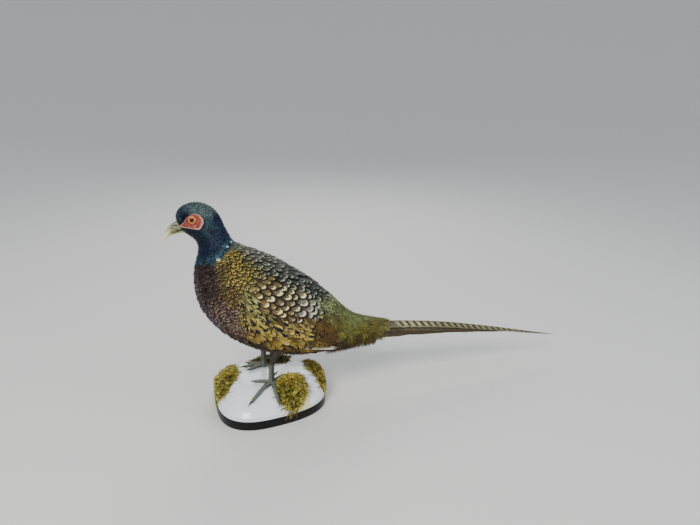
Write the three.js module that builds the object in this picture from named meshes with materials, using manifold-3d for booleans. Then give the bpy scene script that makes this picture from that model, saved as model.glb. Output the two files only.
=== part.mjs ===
// A cock pheasant mounted on a painted plaster mound, life size, in millimetres.
// The bird looks along -X, its tail runs along +X and +Z is up. Its left side is -Y.
// The origin is on the base's flat underside, below the bird's mid-plane.

import * as THREE from "three";
import { mergeVertices } from "three/addons/utils/BufferGeometryUtils.js";
import Module from "manifold-3d";

const wasm = await Module();
wasm.setup();

// ---- driving dimensions ----

const gap = 0.3; // clearance left between two pieces that meet
const aroundBody = 24; // facets round the head, neck, trunk and rump
const aroundMound = 36; // facets round the base
const boardHeight = 14.5;
const boardRim = 0.6; // how far the black board stands out past the mound
const footSpread = 31; // from the mid-plane to the middle of each foot
const footX = -5;
const ankleTop = 60; // height at which the foot ends and the shank starts
const cuffBottom = 84; // height at which the feathered leg cuff ends
const spurHeight = 68;
const shankRadius = 4.1;
const shankWaist = 0.5; // how much thinner the shank is halfway up
const ankleRadius = 5.2;
const cuffRadius = 5.5;
const thighRadius = 15.5;
const spurRadius = 2.6;
const spurPoint = 0.4;
const eyeRadius = 6;
const eyeCentre = { x: -113.2, y: 14.9, z: 327 };
const tailStart = 180; // the tail feathers leave the coverts near here
const tailTip = 585;

// Contour lines of the mound, from the board up to the plateau: how far each one
// reaches to the left (-X), right (+X), front (-Y) and back (+Y) of the origin.
const moundLines = [
  { z: boardHeight + gap, left: 90, right: 91, front: 73, back: 78 },
  { z: 21, left: 90, right: 92, front: 74, back: 79 },
  { z: 28, left: 86, right: 90, front: 69, back: 78 },
  { z: 36, left: 78, right: 86, front: 60, back: 75 },
  { z: 44, left: 68, right: 80, front: 50, back: 71 },
  { z: 50, left: 59, right: 74, front: 41, back: 66 },
  { z: 52.4, left: 50, right: 64, front: 32, back: 59 },
  { z: 53.2, left: 26, right: 34, front: 14, back: 32 },
];
// The outline is a rounded rectangle, and narrows towards the tail.
const moundCorner = { front: 2.6, back: 3.4 };
const moundTaper = { front: 0.15, back: 0.22 };

// Cross-sections of the bird, from the root of the bill to the tail coverts. Each runs
// from a point on its back to a point on its front or belly, both [x, z], and is
// halfWidth wide each way. sag above 0 puts the widest place below the middle.
const bodySections = [
  { back: [-134.5, 322.5], belly: [-127.5, 308], halfWidth: 6.5, sag: 0 },
  { back: [-135.5, 330], belly: [-122.5, 303.5], halfWidth: 10.5, sag: 0.04 },
  { back: [-131.5, 339.5], belly: [-117, 299.5], halfWidth: 14.5, sag: 0.08 },
  { back: [-122.5, 346.5], belly: [-113, 296], halfWidth: 17.3, sag: 0.1 },
  { back: [-108, 350], belly: [-110, 292.5], halfWidth: 19.3, sag: 0.1 },
  { back: [-93, 347.3], belly: [-108, 289.5], halfWidth: 20.2, sag: 0.08 },
  { back: [-81, 340], belly: [-107, 286], halfWidth: 20.6, sag: 0.05 },
  { back: [-73, 329.5], belly: [-106.3, 282], halfWidth: 21.2, sag: 0 },
  { back: [-67, 316], belly: [-106.3, 277.5], halfWidth: 22.6, sag: 0 },
  { back: [-60.5, 301.5], belly: [-107.5, 271], halfWidth: 25.5, sag: 0 },
  { back: [-53.5, 290], belly: [-110.5, 261.5], halfWidth: 31, sag: 0 },
  { back: [-40, 280.5], belly: [-113.5, 249], halfWidth: 40, sag: 0 },
  { back: [-13, 269.5], belly: [-115.5, 226], halfWidth: 51.5, sag: -0.04 },
  { back: [22, 251], belly: [-109, 188], halfWidth: 61, sag: -0.06 },
  { back: [53, 230], belly: [-86, 151], halfWidth: 65, sag: -0.06 },
  { back: [83, 207], belly: [-50, 121.5], halfWidth: 64.5, sag: -0.06 },
  { back: [107, 183.5], belly: [-10, 101], halfWidth: 60, sag: -0.05 },
  { back: [128, 161.5], belly: [34, 91], halfWidth: 52, sag: -0.03 },
  { back: [150, 144.5], belly: [80, 89], halfWidth: 42, sag: 0 },
  { back: [178, 135], belly: [122, 91.5], halfWidth: 32, sag: 0 },
  { back: [202, 129], belly: [162, 91.5], halfWidth: 25, sag: 0 },
  { back: [220, 125.5], belly: [193, 91], halfWidth: 21, sag: 0 },
];
// The bird is parted with thin cuts at these section numbers.
const [neckStart, trunkStart, rumpStart] = [7.4, 10.9, 17.7];
const thinCut = 0.02;
const bodyParts = {
  head: { from: 0, to: neckStart, steps: 14 },
  neck: { from: neckStart + thinCut, to: trunkStart, steps: 6 },
  trunk: { from: trunkStart + thinCut, to: rumpStart, steps: 14 },
  rump: { from: rumpStart + thinCut, to: bodySections.length - 1, steps: 9 },
};

// The two halves of the bill, each from inside the head to its tip.
const upperBillSections = [
  { back: [-124, 327], belly: [-118, 311], halfWidth: 7.8, sag: 0.1 },
  { back: [-134, 323], belly: [-128, 309.8], halfWidth: 7.2, sag: 0.1 },
  { back: [-142, 318], belly: [-137, 307], halfWidth: 5.7, sag: 0.1 },
  { back: [-149, 310.6], belly: [-144.5, 302.8], halfWidth: 3.9, sag: 0.1 },
  { back: [-153, 303], belly: [-149.6, 298.6], halfWidth: 2.1, sag: 0 },
  { back: [-154, 296.8], belly: [-152.8, 296.2], halfWidth: 0.7, sag: 0 },
];
const lowerBillSections = [
  { back: [-117.5, 310.2], belly: [-120, 305], halfWidth: 6.6, sag: 0 },
  { back: [-128, 309.2], belly: [-129, 305.4], halfWidth: 6, sag: 0 },
  { back: [-137.2, 306.4], belly: [-137.4, 303.4], halfWidth: 4.6, sag: 0 },
  { back: [-144, 302.4], belly: [-143.6, 300.6], halfWidth: 2.8, sag: 0 },
  { back: [-146.6, 300.4], belly: [-146.3, 299.6], halfWidth: 1.2, sag: 0 },
];

// ---- meshes as solids ----

function geometryFrom(points, faces) {
  const flat = points.flatMap((point) => [point.x, point.y, point.z]);
  const geometry = new THREE.BufferGeometry();
  geometry.setAttribute("position", new THREE.Float32BufferAttribute(flat, 3));
  geometry.setIndex(faces.flat());
  return geometry;
}

function volumeOf(points, faces) {
  const cross = new THREE.Vector3();
  return faces.reduce((sum, [a, b, c]) => {
    return sum + points[a].dot(cross.crossVectors(points[b], points[c])) / 6;
  }, 0);
}

// Joins rings of equal length into a closed body with a flat fan over each end.
function loft(rings) {
  const count = rings[0].length;
  const points = rings.flat();
  const faces = [];
  for (let ring = 0; ring < rings.length - 1; ring += 1) {
    for (let i = 0; i < count; i += 1) {
      const next = (i + 1) % count;
      const [a, b] = [ring * count + i, ring * count + next];
      faces.push([a, b, b + count], [a, b + count, a + count]);
    }
  }
  const ends = [
    [0, false],
    [rings.length - 1, true],
  ];
  for (const [ring, far] of ends) {
    const middle = new THREE.Vector3();
    rings[ring].forEach((point) => middle.addScaledVector(point, 1 / count));
    const hub = points.push(middle) - 1;
    for (let i = 0; i < count; i += 1) {
      const [a, b] = [ring * count + i, ring * count + ((i + 1) % count)];
      faces.push(far ? [a, b, hub] : [b, a, hub]);
    }
  }
  if (volumeOf(points, faces) < 0) {
    faces.forEach((face) => face.reverse());
  }
  return geometryFrom(points, faces);
}

// A round pad lying on a surface. place(reach, angle, lift) gives the point at reach 0
// (middle) to 1 (edge), lifted off the surface; thickness(reach, angle) is its height.
function padOn(place, thickness, lift, { rings, around }) {
  const points = [place(0, 0, lift + thickness(0, 0)), place(0, 0, lift)];
  const faces = [];
  const at = (layer, ring, i) => 2 + (layer * rings + ring - 1) * around + (i % around);
  for (const layer of [0, 1]) {
    for (let ring = 1; ring <= rings; ring += 1) {
      for (let i = 0; i < around; i += 1) {
        const angle = (i / around) * 2 * Math.PI;
        const height = layer === 0 ? thickness(ring / rings, angle) : 0;
        points.push(place(ring / rings, angle, lift + height));
      }
    }
  }
  for (let i = 0; i < around; i += 1) {
    faces.push([0, at(0, 1, i), at(0, 1, i + 1)], [1, at(1, 1, i + 1), at(1, 1, i)]);
    for (let ring = 1; ring < rings; ring += 1) {
      const [a, b] = [at(0, ring, i), at(0, ring, i + 1)];
      const [c, d] = [at(0, ring + 1, i + 1), at(0, ring + 1, i)];
      faces.push([a, d, c], [a, c, b]);
      const [e, f] = [at(1, ring, i), at(1, ring, i + 1)];
      const [g, h] = [at(1, ring + 1, i + 1), at(1, ring + 1, i)];
      faces.push([e, g, h], [e, f, g]);
    }
    const [top, topNext] = [at(0, rings, i), at(0, rings, i + 1)];
    const [low, lowNext] = [at(1, rings, i), at(1, rings, i + 1)];
    faces.push([top, low, lowNext], [top, lowNext, topNext]);
  }
  if (volumeOf(points, faces) < 0) {
    faces.forEach((face) => face.reverse());
  }
  return geometryFrom(points, faces);
}

function solidOf(geometry) {
  const bare = geometry.clone();
  bare.deleteAttribute("normal");
  bare.deleteAttribute("uv");
  const merged = mergeVertices(bare, 1e-4);
  return new wasm.Manifold(
    new wasm.Mesh({
      numProp: 3,
      vertProperties: new Float32Array(merged.attributes.position.array),
      triVerts: new Uint32Array(merged.index.array),
    }),
  );
}

function geometryOf(solid) {
  const mesh = solid.getMesh();
  const geometry = new THREE.BufferGeometry();
  geometry.setAttribute("position", new THREE.BufferAttribute(mesh.vertProperties, 3));
  geometry.setIndex(new THREE.BufferAttribute(mesh.triVerts, 1));
  return geometry;
}

function cutAway(geometry, ...tools) {
  return geometryOf(tools.reduce((solid, tool) => solid.subtract(solidOf(tool)), solidOf(geometry)));
}

// ---- the bird's own surface ----

function sectionCurves(sections) {
  const curve = (pick) => new THREE.CatmullRomCurve3(sections.map(pick), false, "centripetal");
  return {
    count: sections.length - 1,
    back: curve(({ back }) => new THREE.Vector3(back[0], 0, back[1])),
    belly: curve(({ belly }) => new THREE.Vector3(belly[0], 0, belly[1])),
    width: curve(({ halfWidth, sag }, i) => new THREE.Vector3(halfWidth, sag, i)),
  };
}

// Angle 0 is on the back, a quarter turn is on the right side (+Y).
function pointOnSection(curves, section, angle, grow = 0) {
  const t = THREE.MathUtils.clamp(section / curves.count, 0, 1);
  const back = curves.back.getPoint(t);
  const belly = curves.belly.getPoint(t);
  const width = curves.width.getPoint(t);
  const rise = back.clone().sub(belly).multiplyScalar(0.5);
  const halfHeight = rise.length();
  const [c, s] = [Math.cos(angle), Math.sin(angle)];
  const side = (width.x + grow) * s * (1 - width.y * c);
  const point = back.clone().add(belly).multiplyScalar(0.5);
  point.addScaledVector(rise, (c * (halfHeight + grow)) / halfHeight);
  return point.setY(side);
}

function sectionRing(curves, section, around, grow) {
  return Array.from({ length: around }, (_, i) => {
    return pointOnSection(curves, section, (i / around) * 2 * Math.PI, grow);
  });
}

// A length of the bird between two section numbers, with its ends cut flat.
function sectionLoft(curves, from, to, steps, around, grow = 0) {
  const rings = [];
  for (let i = 0; i <= steps; i += 1) {
    rings.push(sectionRing(curves, from + ((to - from) * i) / steps, around, grow));
  }
  return loft(rings);
}

const body = sectionCurves(bodySections);

// One length of the bird, or with grow above 0 the room that its neighbours leave it.
function bodyPart(name, grow = 0) {
  const { from, to, steps } = bodyParts[name];
  return sectionLoft(body, from, to, steps, aroundBody, grow);
}

// Places for an oval pad on one side of the bird, as padOn takes them.
function bodyPlace({ section, angle, reachSections, reachAngle }, side) {
  return (out, around, lift) => {
    const along = section + reachSections * out * Math.cos(around);
    const turn = side.sign * angle + reachAngle * out * Math.sin(around);
    return pointOnSection(body, along, THREE.MathUtils.degToRad(turn), lift);
  };
}

// ---- the mound's surface ----

// One contour line, found between two of the lines above, as its height and reaches.
function moundLine(line) {
  const low = Math.min(Math.floor(line), moundLines.length - 2);
  const mix = (key) => THREE.MathUtils.lerp(moundLines[low][key], moundLines[low + 1][key], line - low);
  return { z: mix("z"), left: mix("left"), right: mix("right"), front: mix("front"), back: mix("back") };
}

function moundPoint(line, angle, grow = 0) {
  const contour = moundLine(line);
  const [c, s] = [Math.cos(angle), Math.sin(angle)];
  const side = s < 0 ? "front" : "back";
  const round = (value) => Math.sign(value) * Math.abs(value) ** (2 / moundCorner[side]);
  const x = ((c < 0 ? contour.left : contour.right) + grow) * round(c);
  const narrow = 1 - (moundTaper[side] * x) / contour.right;
  const y = (contour[side] + grow) * round(s) * narrow;
  return new THREE.Vector3(x, y, contour.z + (line > 0 ? grow : 0));
}

// How far out from the middle of a contour line a place is, 1 being on the line.
function moundReach(line, x, y) {
  const contour = moundLine(line);
  const side = y < 0 ? "front" : "back";
  const narrow = 1 - (moundTaper[side] * x) / contour.right;
  const reachX = Math.abs(x) / (x < 0 ? contour.left : contour.right);
  const reachY = Math.abs(y) / (contour[side] * narrow);
  return reachX ** moundCorner[side] + reachY ** moundCorner[side];
}

function moundHeight(x, y) {
  let [low, high] = [0, moundLines.length - 1];
  if (moundReach(high, x, y) < 1) {
    return moundLines[high].z;
  }
  for (let i = 0; i < 16; i += 1) {
    const middle = (low + high) / 2;
    if (moundReach(middle, x, y) < 1) {
      low = middle;
    } else {
      high = middle;
    }
  }
  return moundLine(low).z;
}

function onMound(x, y, lift) {
  const step = 1;
  const slopeX = (moundHeight(x + step, y) - moundHeight(x - step, y)) / (2 * step);
  const slopeY = (moundHeight(x, y + step) - moundHeight(x, y - step)) / (2 * step);
  const normal = new THREE.Vector3(-slopeX, -slopeY, 1).normalize();
  return new THREE.Vector3(x, y, moundHeight(x, y)).addScaledVector(normal, lift);
}

function moundSolid(grow = 0) {
  const rings = moundLines.map((_, line) => {
    return Array.from({ length: aroundMound }, (_, i) => {
      return moundPoint(line, (i / aroundMound) * 2 * Math.PI, grow);
    });
  });
  return loft(rings);
}

// ---- tapered tubes, for toes, claws and shanks ----

// A tube along a curve between two shares of its length, radius(share) wide.
function taperedTube(curve, from, to, radius, { steps, sides, flat = 1 }) {
  const rings = [];
  for (let i = 0; i <= steps; i += 1) {
    const share = from + ((to - from) * i) / steps;
    const middle = curve.getPointAt(share);
    const along = curve.getTangentAt(share);
    const across = new THREE.Vector3(0, 0, 1).cross(along);
    if (across.length() < 0.05) {
      across.set(0, 1, 0);
    }
    across.normalize();
    const up = along.clone().cross(across).normalize();
    rings.push(
      Array.from({ length: sides }, (_, k) => {
        const angle = (k / sides) * 2 * Math.PI;
        return middle
          .clone()
          .addScaledVector(across, radius(share) * Math.cos(angle))
          .addScaledVector(up, radius(share) * flat * Math.sin(angle));
      }),
    );
  }
  return loft(rings);
}

// ---- the parts ----

const group = new THREE.Group();

function addPart(name, geometry, { color, roughness, metalness = 0 }) {
  const material = new THREE.MeshStandardMaterial({ color, roughness, metalness });
  const mesh = new THREE.Mesh(geometry, material);
  mesh.name = name;
  group.add(mesh);
}

const finishes = {
  board: { color: "#15140f", roughness: 0.45 },
  plaster: { color: "#d7dce0", roughness: 0.3 },
  moss: { color: "#6f611f", roughness: 0.95 },
  headFeathers: { color: "#1d3038", roughness: 0.5 },
  neckFeathers: { color: "#132438", roughness: 0.4 },
  bodyFeathers: { color: "#7a5a26", roughness: 0.7 },
  wingFeathers: { color: "#6f5c44", roughness: 0.7 },
  rumpFeathers: { color: "#62652f", roughness: 0.8 },
  tailFeathers: { color: "#8a7a56", roughness: 0.7 },
  quill: { color: "#b9b49c", roughness: 0.6 },
  wattle: { color: "#a8472f", roughness: 0.6 },
  eye: { color: "#6b2f12", roughness: 0.05 },
  bill: { color: "#b9b48f", roughness: 0.4 },
  scales: { color: "#4c5148", roughness: 0.6 },
  claw: { color: "#23231f", roughness: 0.4 },
};

const sides = [
  { name: "left", sign: -1 },
  { name: "right", sign: 1 },
];

function eyeBall(sign, grow = 0) {
  const ball = new THREE.SphereGeometry(eyeRadius + grow, 12, 8);
  return ball.translate(eyeCentre.x, sign * eyeCentre.y, eyeCentre.z);
}

function addBase() {
  const outline = new THREE.Shape();
  for (let i = 0; i < aroundMound; i += 1) {
    const edge = moundPoint(0, (i / aroundMound) * 2 * Math.PI, boardRim);
    if (i === 0) {
      outline.moveTo(edge.x, edge.y);
    } else {
      outline.lineTo(edge.x, edge.y);
    }
  }
  outline.closePath();
  const board = new THREE.ExtrudeGeometry(outline, { depth: boardHeight, bevelEnabled: false });
  addPart("base_board", board, finishes.board);
  addPart("base_mound", moundSolid(), finishes.plaster);
}

// Toes and the hind toe of each foot: where each tip rests, from the foot's middle, for
// the left foot. claw is the claw's length, thick the toe's radius at its root.
const toes = [
  { name: "inner", tip: [-33, 13], thick: 2.9, claw: 8 },
  { name: "middle", tip: [-44, -29], thick: 3.2, claw: 9 },
  { name: "outer", tip: [4, -36], thick: 2.9, claw: 8 },
  { name: "hind", tip: [25, 18], thick: 2.3, claw: 7 },
];
// The right foot stands flat on the plateau, so its toes are turned further forward.
const rightToeTips = { inner: [-33, -12], middle: [-41, 4], outer: [-31, 18], hind: [20, -8] };

const toeBends = [0, 0.3, 0.55, 0.8, 1]; // shares of the way to the tip
const toeArch = 1.2; // how far the middle of a toe stands off the ground
const toeTaper = 0.35; // share of its radius that a toe loses up to its claw
const toeLift = 0.62; // the same for the line that the toe and claw follow together
const clawRoot = 0.5; // radius of a claw's root, as a share of its toe's
const clawPoint = 0.35; // radius of a claw's point

function toeCurve(toe, side) {
  const [dx, dy] = side.sign < 0 ? toe.tip : rightToeTips[toe.name];
  const start = { x: footX, y: side.sign * footSpread };
  const points = toeBends.map((share) => {
    const arch = toeArch * Math.sin(share * Math.PI);
    const radius = toe.thick * (1 - toeLift * share);
    return onMound(start.x + dx * share, start.y + dy * share, radius + gap + arch);
  });
  return new THREE.CatmullRomCurve3(points, false, "centripetal");
}

function toeRadius(toe, clawFrom) {
  return (share) => {
    if (share <= clawFrom) {
      return toe.thick * (1 - (toeTaper * share) / clawFrom);
    }
    const left = 1 - (share - clawFrom) / (1 - clawFrom);
    return Math.max(toe.thick * clawRoot * left, clawPoint);
  };
}

function clawShare(toe, curve) {
  return 1 - toe.claw / curve.getLength();
}

// The short upright joint that the toes grow from.
function ankle(side, grow = 0) {
  const foot = { x: footX, y: side.sign * footSpread };
  const stem = new THREE.LineCurve3(
    new THREE.Vector3(foot.x, foot.y, moundHeight(foot.x, foot.y) + 3 * gap),
    new THREE.Vector3(foot.x, foot.y, ankleTop - gap),
  );
  const radius = (share) => THREE.MathUtils.lerp(ankleRadius, shankRadius, share) + grow;
  return taperedTube(stem, 0, 1, radius, { steps: 2, sides: 10 });
}

function footSolid(side, grow = 0) {
  let foot = solidOf(ankle(side, grow));
  for (const toe of toes) {
    const curve = toeCurve(toe, side);
    const clawFrom = clawShare(toe, curve);
    const radius = (share) => toeRadius(toe, clawFrom)(share) + grow;
    foot = foot.add(solidOf(taperedTube(curve, 0, clawFrom, radius, { steps: 3, sides: 7 })));
  }
  return foot;
}

function clawTube(toe, side, grow = 0) {
  const curve = toeCurve(toe, side);
  const clawFrom = clawShare(toe, curve);
  const radius = (share) => toeRadius(toe, clawFrom)(Math.max(share, clawFrom + 0.001)) + grow;
  const start = clawFrom + (gap - grow) / curve.getLength();
  return taperedTube(curve, start, 1, radius, { steps: 3, sides: 6 });
}

function shankTube(side, grow = 0) {
  const y = side.sign * footSpread;
  const line = new THREE.LineCurve3(
    new THREE.Vector3(footX, y, ankleTop),
    new THREE.Vector3(footX, y, cuffBottom - gap),
  );
  const radius = (share) => shankRadius - shankWaist * Math.sin(share * Math.PI) + grow;
  return taperedTube(line, 0, 1, radius, { steps: 3, sides: 10 });
}

// The feathered part of the leg, from just under the belly up into it.
function cuffTube(side) {
  const y = side.sign * footSpread;
  const bends = [
    { back: 0, up: 0 },
    { back: 0, up: 5 },
    { back: 5, up: 14 },
    { back: 12, up: 29 },
  ];
  const points = bends.map(({ back, up }) => new THREE.Vector3(footX + back, y, cuffBottom + up));
  const line = new THREE.CatmullRomCurve3(points);
  const radius = (share) => THREE.MathUtils.lerp(cuffRadius, thighRadius, share);
  return taperedTube(line, 0, 1, radius, { steps: 4, sides: 12 });
}

// The spur stands out from the back of the shank, turned a little inwards.
function spurTube(side) {
  const bends = [
    { back: 0, inwards: 0, up: 0 },
    { back: 8, inwards: 3, up: 0 },
    { back: 13, inwards: 5, up: 4 },
  ];
  const points = bends.map(({ back, inwards, up }) => {
    return new THREE.Vector3(footX + back, side.sign * (footSpread - inwards), spurHeight + up);
  });
  const radius = (share) => THREE.MathUtils.lerp(spurRadius, spurPoint, share);
  return taperedTube(new THREE.QuadraticBezierCurve3(...points), 0, 1, radius, { steps: 4, sides: 8 });
}

function addLegs() {
  const trunk = bodyPart("trunk", gap);
  const mound = moundSolid(gap);
  for (const side of sides) {
    addPart(`shank_${side.name}`, shankTube(side), finishes.scales);
    addPart(`thigh_${side.name}`, cutAway(cuffTube(side), trunk), finishes.bodyFeathers);
    addPart(`spur_${side.name}`, cutAway(spurTube(side), shankTube(side, gap)), finishes.claw);
    const foot = footSolid(side).subtract(solidOf(mound));
    addPart(`foot_${side.name}`, geometryOf(foot), finishes.scales);
    for (const toe of toes) {
      const claw = cutAway(clawTube(toe, side), mound);
      addPart(`claw_${side.name}_${toe.name}`, claw, finishes.claw);
    }
  }
}

const mossEdge = 0.8; // thickness of a moss patch at its rim
// Moss patches: middle on the base, reach along and across, height and turn.
const mossPatches = [
  { name: "left", x: -71, y: 20, long: 33, wide: 17, thick: 8, turn: 1.25 },
  { name: "front", x: 24, y: -43, long: 26, wide: 22, thick: 8, turn: -1.8 },
  { name: "right", x: 78, y: 6, long: 33, wide: 12, thick: 7, turn: 1.7 },
  { name: "back", x: 12, y: 50, long: 28, wide: 9, thick: 6, turn: -0.12 },
];

function addMoss() {
  const feet = sides.flatMap((side) => {
    const claws = toes.map((toe) => clawTube(toe, side, gap));
    return [geometryOf(footSolid(side, gap)), ...claws];
  });
  for (const patch of mossPatches) {
    const place = (out, angle, lift) => {
      const [along, across] = [patch.long * out * Math.cos(angle), patch.wide * out * Math.sin(angle)];
      const [c, s] = [Math.cos(patch.turn), Math.sin(patch.turn)];
      return onMound(patch.x + along * c - across * s, patch.y + along * s + across * c, lift);
    };
    const thickness = (out) => mossEdge + (patch.thick - mossEdge) * (1 - out ** 2);
    const pad = padOn(place, thickness, 4 * gap, { rings: 3, around: 16 });
    addPart(`moss_${patch.name}`, cutAway(pad, ...feet), finishes.moss);
  }
}

const wattlePad = { section: 3.8, angle: 86, reachSections: 1.65, reachAngle: 24, edge: 0.6, rise: 1.3 };

function addHead() {
  const eyes = sides.map((side) => eyeBall(side.sign, gap));
  addPart("head", cutAway(bodyPart("head"), ...eyes), finishes.headFeathers);
  const face = bodyPart("head", gap);
  const upper = sectionLoft(sectionCurves(upperBillSections), 0, upperBillSections.length - 1, 9, 14);
  const lower = sectionLoft(sectionCurves(lowerBillSections), 0, lowerBillSections.length - 1, 7, 12);
  addPart("bill_upper", cutAway(upper, face), finishes.bill);
  addPart("bill_lower", cutAway(lower, face), finishes.bill);
  for (const side of sides) {
    addPart(`eye_${side.name}`, eyeBall(side.sign), finishes.eye);
    const thickness = (out) => wattlePad.edge + wattlePad.rise * (1 - out ** 4);
    const skin = padOn(bodyPlace(wattlePad, side), thickness, 2 * gap, { rings: 2, around: 18 });
    addPart(`wattle_${side.name}`, cutAway(skin, face, eyeBall(side.sign, gap)), finishes.wattle);
  }
}

function addBody() {
  addPart("neck", bodyPart("neck"), finishes.neckFeathers);
  addPart("trunk", bodyPart("trunk"), finishes.bodyFeathers);
  addPart("rump", bodyPart("rump"), finishes.rumpFeathers);
}

const wingPad = { section: 13.9, angle: 60, reachSections: 1.75, reachAngle: 33, edge: 0.8, rise: 5.2 };
// The tips of the long flight feathers show below the flank as one narrow blade.
const blade = {
  root: { x: 43, y: 49, z: 119.5, radius: 3.4 },
  tip: { x: 104, y: 39.5, z: 105, radius: 1.4 },
};

function addWings() {
  for (const side of sides) {
    const thickness = (out) => wingPad.edge + wingPad.rise * (1 - out ** 2);
    const wing = padOn(bodyPlace(wingPad, side), thickness, 3 * gap, { rings: 3, around: 24 });
    addPart(`wing_${side.name}`, wing, finishes.wingFeathers);

    const ends = [blade.root, blade.tip].map(({ x, y, z }) => new THREE.Vector3(x, side.sign * y, z));
    const radius = (share) => THREE.MathUtils.lerp(blade.root.radius, blade.tip.radius, share);
    const quill = taperedTube(new THREE.LineCurve3(...ends), 0, 1, radius, { steps: 4, sides: 8 });
    const flank = [bodyPart("trunk", gap), bodyPart("rump", gap)];
    addPart(`primaries_${side.name}`, cutAway(quill, ...flank), finishes.quill);
  }
}

// ---- tail ----

// Half of the tail, from the long middle feather down and out to the short outer one.
// reach is how far back each tip lies, wide its width, out its offset from the mid-plane
// and taper how late it narrows.
const tailFeathers = [
  { name: "central", reach: 1, wide: 18.5, out: 0.2, taper: 2.2 },
  { name: "second", reach: 0.78, wide: 18, out: 4, taper: 3.5 },
  { name: "third", reach: 0.54, wide: 16, out: 7.5, taper: 4 },
  { name: "fourth", reach: 0.38, wide: 15, out: 10.5, taper: 5 },
  { name: "outer", reach: 0.26, wide: 14, out: 13, taper: 6 },
];
const tailThick = 0.8;
const tailStep = 1.3; // each feather lies this much lower than the one above it
const tailTilt = 0.36; // fall over run of the roof-shaped tail
const tipShares = [0.84, 0.93, 0.98, 1]; // rings that round off a feather's tip
const tipWidth = 0.06; // width left at the tip, as a share of the whole
// The ridge of the tail, straight between these points, so that the feathers lie flat
// on one another.
const tailRidge = [
  { x: tailStart, z: 127 },
  { x: 235, z: 122 },
  { x: 285, z: 115.5 },
  { x: 333, z: 107.5 },
  { x: 390, z: 95.5 },
  { x: 442, z: 84 },
  { x: 510, z: 67.5 },
  { x: tailTip, z: 49.5 },
];

function ridgeHeight(x) {
  const next = Math.max(tailRidge.findIndex((point) => point.x >= x - 0.001), 1);
  const [from, to] = [tailRidge[next - 1], tailRidge[next]];
  return THREE.MathUtils.mapLinear(x, from.x, to.x, from.z, to.z);
}

function tailFeather(feather, order, side) {
  const length = (tailTip - tailStart) * feather.reach;
  const tipRings = tipShares.map((share) => tailStart + length * share);
  const ridgeRings = tailRidge.map(({ x }) => x).filter((x) => x < tipRings[0] - 5);
  const rings = [...ridgeRings, ...tipRings].map((x) => {
    const taper = Math.max(1 - ((x - tailStart) / length) ** feather.taper, tipWidth);
    const inner = feather.out * taper + gap;
    const outer = inner + feather.wide * taper;
    const top = (y) => ridgeHeight(x) - tailTilt * y - order * tailStep;
    const ring = [inner, outer].map((y) => [y, top(y)]);
    const under = ring.map(([y, z]) => [y, z - tailThick]).reverse();
    return [...ring, ...under].map(([y, z]) => new THREE.Vector3(x, side.sign * y, z));
  });
  return loft(rings);
}

function addTail() {
  const coverts = bodyPart("rump", gap);
  for (const side of sides) {
    tailFeathers.forEach((feather, order) => {
      const vane = cutAway(tailFeather(feather, order, side), coverts);
      addPart(`tail_${feather.name}_${side.name}`, vane, finishes.tailFeathers);
    });
  }
}

addBase();
addLegs();
addMoss();
addHead();
addBody();
addWings();
addTail();

export default group;
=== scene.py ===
# A mounted cock pheasant on its plaster mound: skin, feathers, bare parts and base
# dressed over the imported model, in metres.
from math import cos, pi, radians, sin

import bpy
import numpy as np
from mathutils import Matrix, Vector, kdtree, noise


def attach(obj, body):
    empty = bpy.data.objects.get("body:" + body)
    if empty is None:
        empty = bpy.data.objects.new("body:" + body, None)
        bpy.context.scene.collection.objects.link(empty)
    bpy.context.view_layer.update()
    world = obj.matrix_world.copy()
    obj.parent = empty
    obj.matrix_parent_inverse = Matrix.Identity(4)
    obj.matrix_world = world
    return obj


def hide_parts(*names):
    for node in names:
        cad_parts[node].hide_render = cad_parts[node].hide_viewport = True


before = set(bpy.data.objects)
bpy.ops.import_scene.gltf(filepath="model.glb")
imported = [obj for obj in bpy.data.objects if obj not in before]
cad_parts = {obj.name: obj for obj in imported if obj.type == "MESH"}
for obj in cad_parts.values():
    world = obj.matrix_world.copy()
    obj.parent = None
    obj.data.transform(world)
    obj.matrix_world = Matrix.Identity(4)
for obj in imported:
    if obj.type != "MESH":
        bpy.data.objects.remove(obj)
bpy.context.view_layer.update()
mm = 0.001
sides = {"left": -1, "right": 1}  # the left side of the bird is -Y
print("frame loaded:", len(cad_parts), "nodes")


# camera, floor and lights

view = {
    "place": (-0.1705, -0.816, 0.505),
    "right": (0.9383, -0.3447, 0.0267),
    "down": (-0.0771, -0.2839, -0.9557),
    "forward": (0.3370, 0.8947, -0.2930),
    "lens": 28.18,
    "sensor": 36.0,
}
studio = {
    "floorColour": (0.76, 0.75, 0.73),
    "floorFlat": 1.8,  # level out to here, then rising all round like a studio sweep
    "floorSweep": 5.5,
    "sky": (0.80, 0.86, 0.95),
    "skyStrength": 0.62,
    # name: place, aim, width, energy, colour
    "lamps": {
        "keyLamp": ((-1.1, -1.5, 1.7), (0.0, 0.0, 0.2), 0.8, 52.0, (1.0, 0.98, 0.95)),
        "fillLamp": ((1.5, -1.3, 1.0), (0.1, 0.0, 0.2), 1.4, 12.0, (0.93, 0.96, 1.0)),
        "backLamp": ((0.6, 1.6, 1.5), (0.1, 0.0, 0.2), 1.2, 16.0, (1.0, 0.97, 0.93)),
    },
}


def placeCamera():
    data = bpy.data.cameras.new("camera")
    data.lens = view["lens"]
    data.sensor_width = view["sensor"]
    data.clip_start = 0.01
    camera = bpy.data.objects.new("camera", data)
    right, down, forward = (Vector(view[key]).normalized() for key in ("right", "down", "forward"))
    turn = Matrix((right, -down, -forward)).transposed().to_4x4()
    camera.matrix_world = Matrix.Translation(view["place"]) @ turn
    bpy.context.collection.objects.link(camera)
    bpy.context.scene.camera = camera


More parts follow.
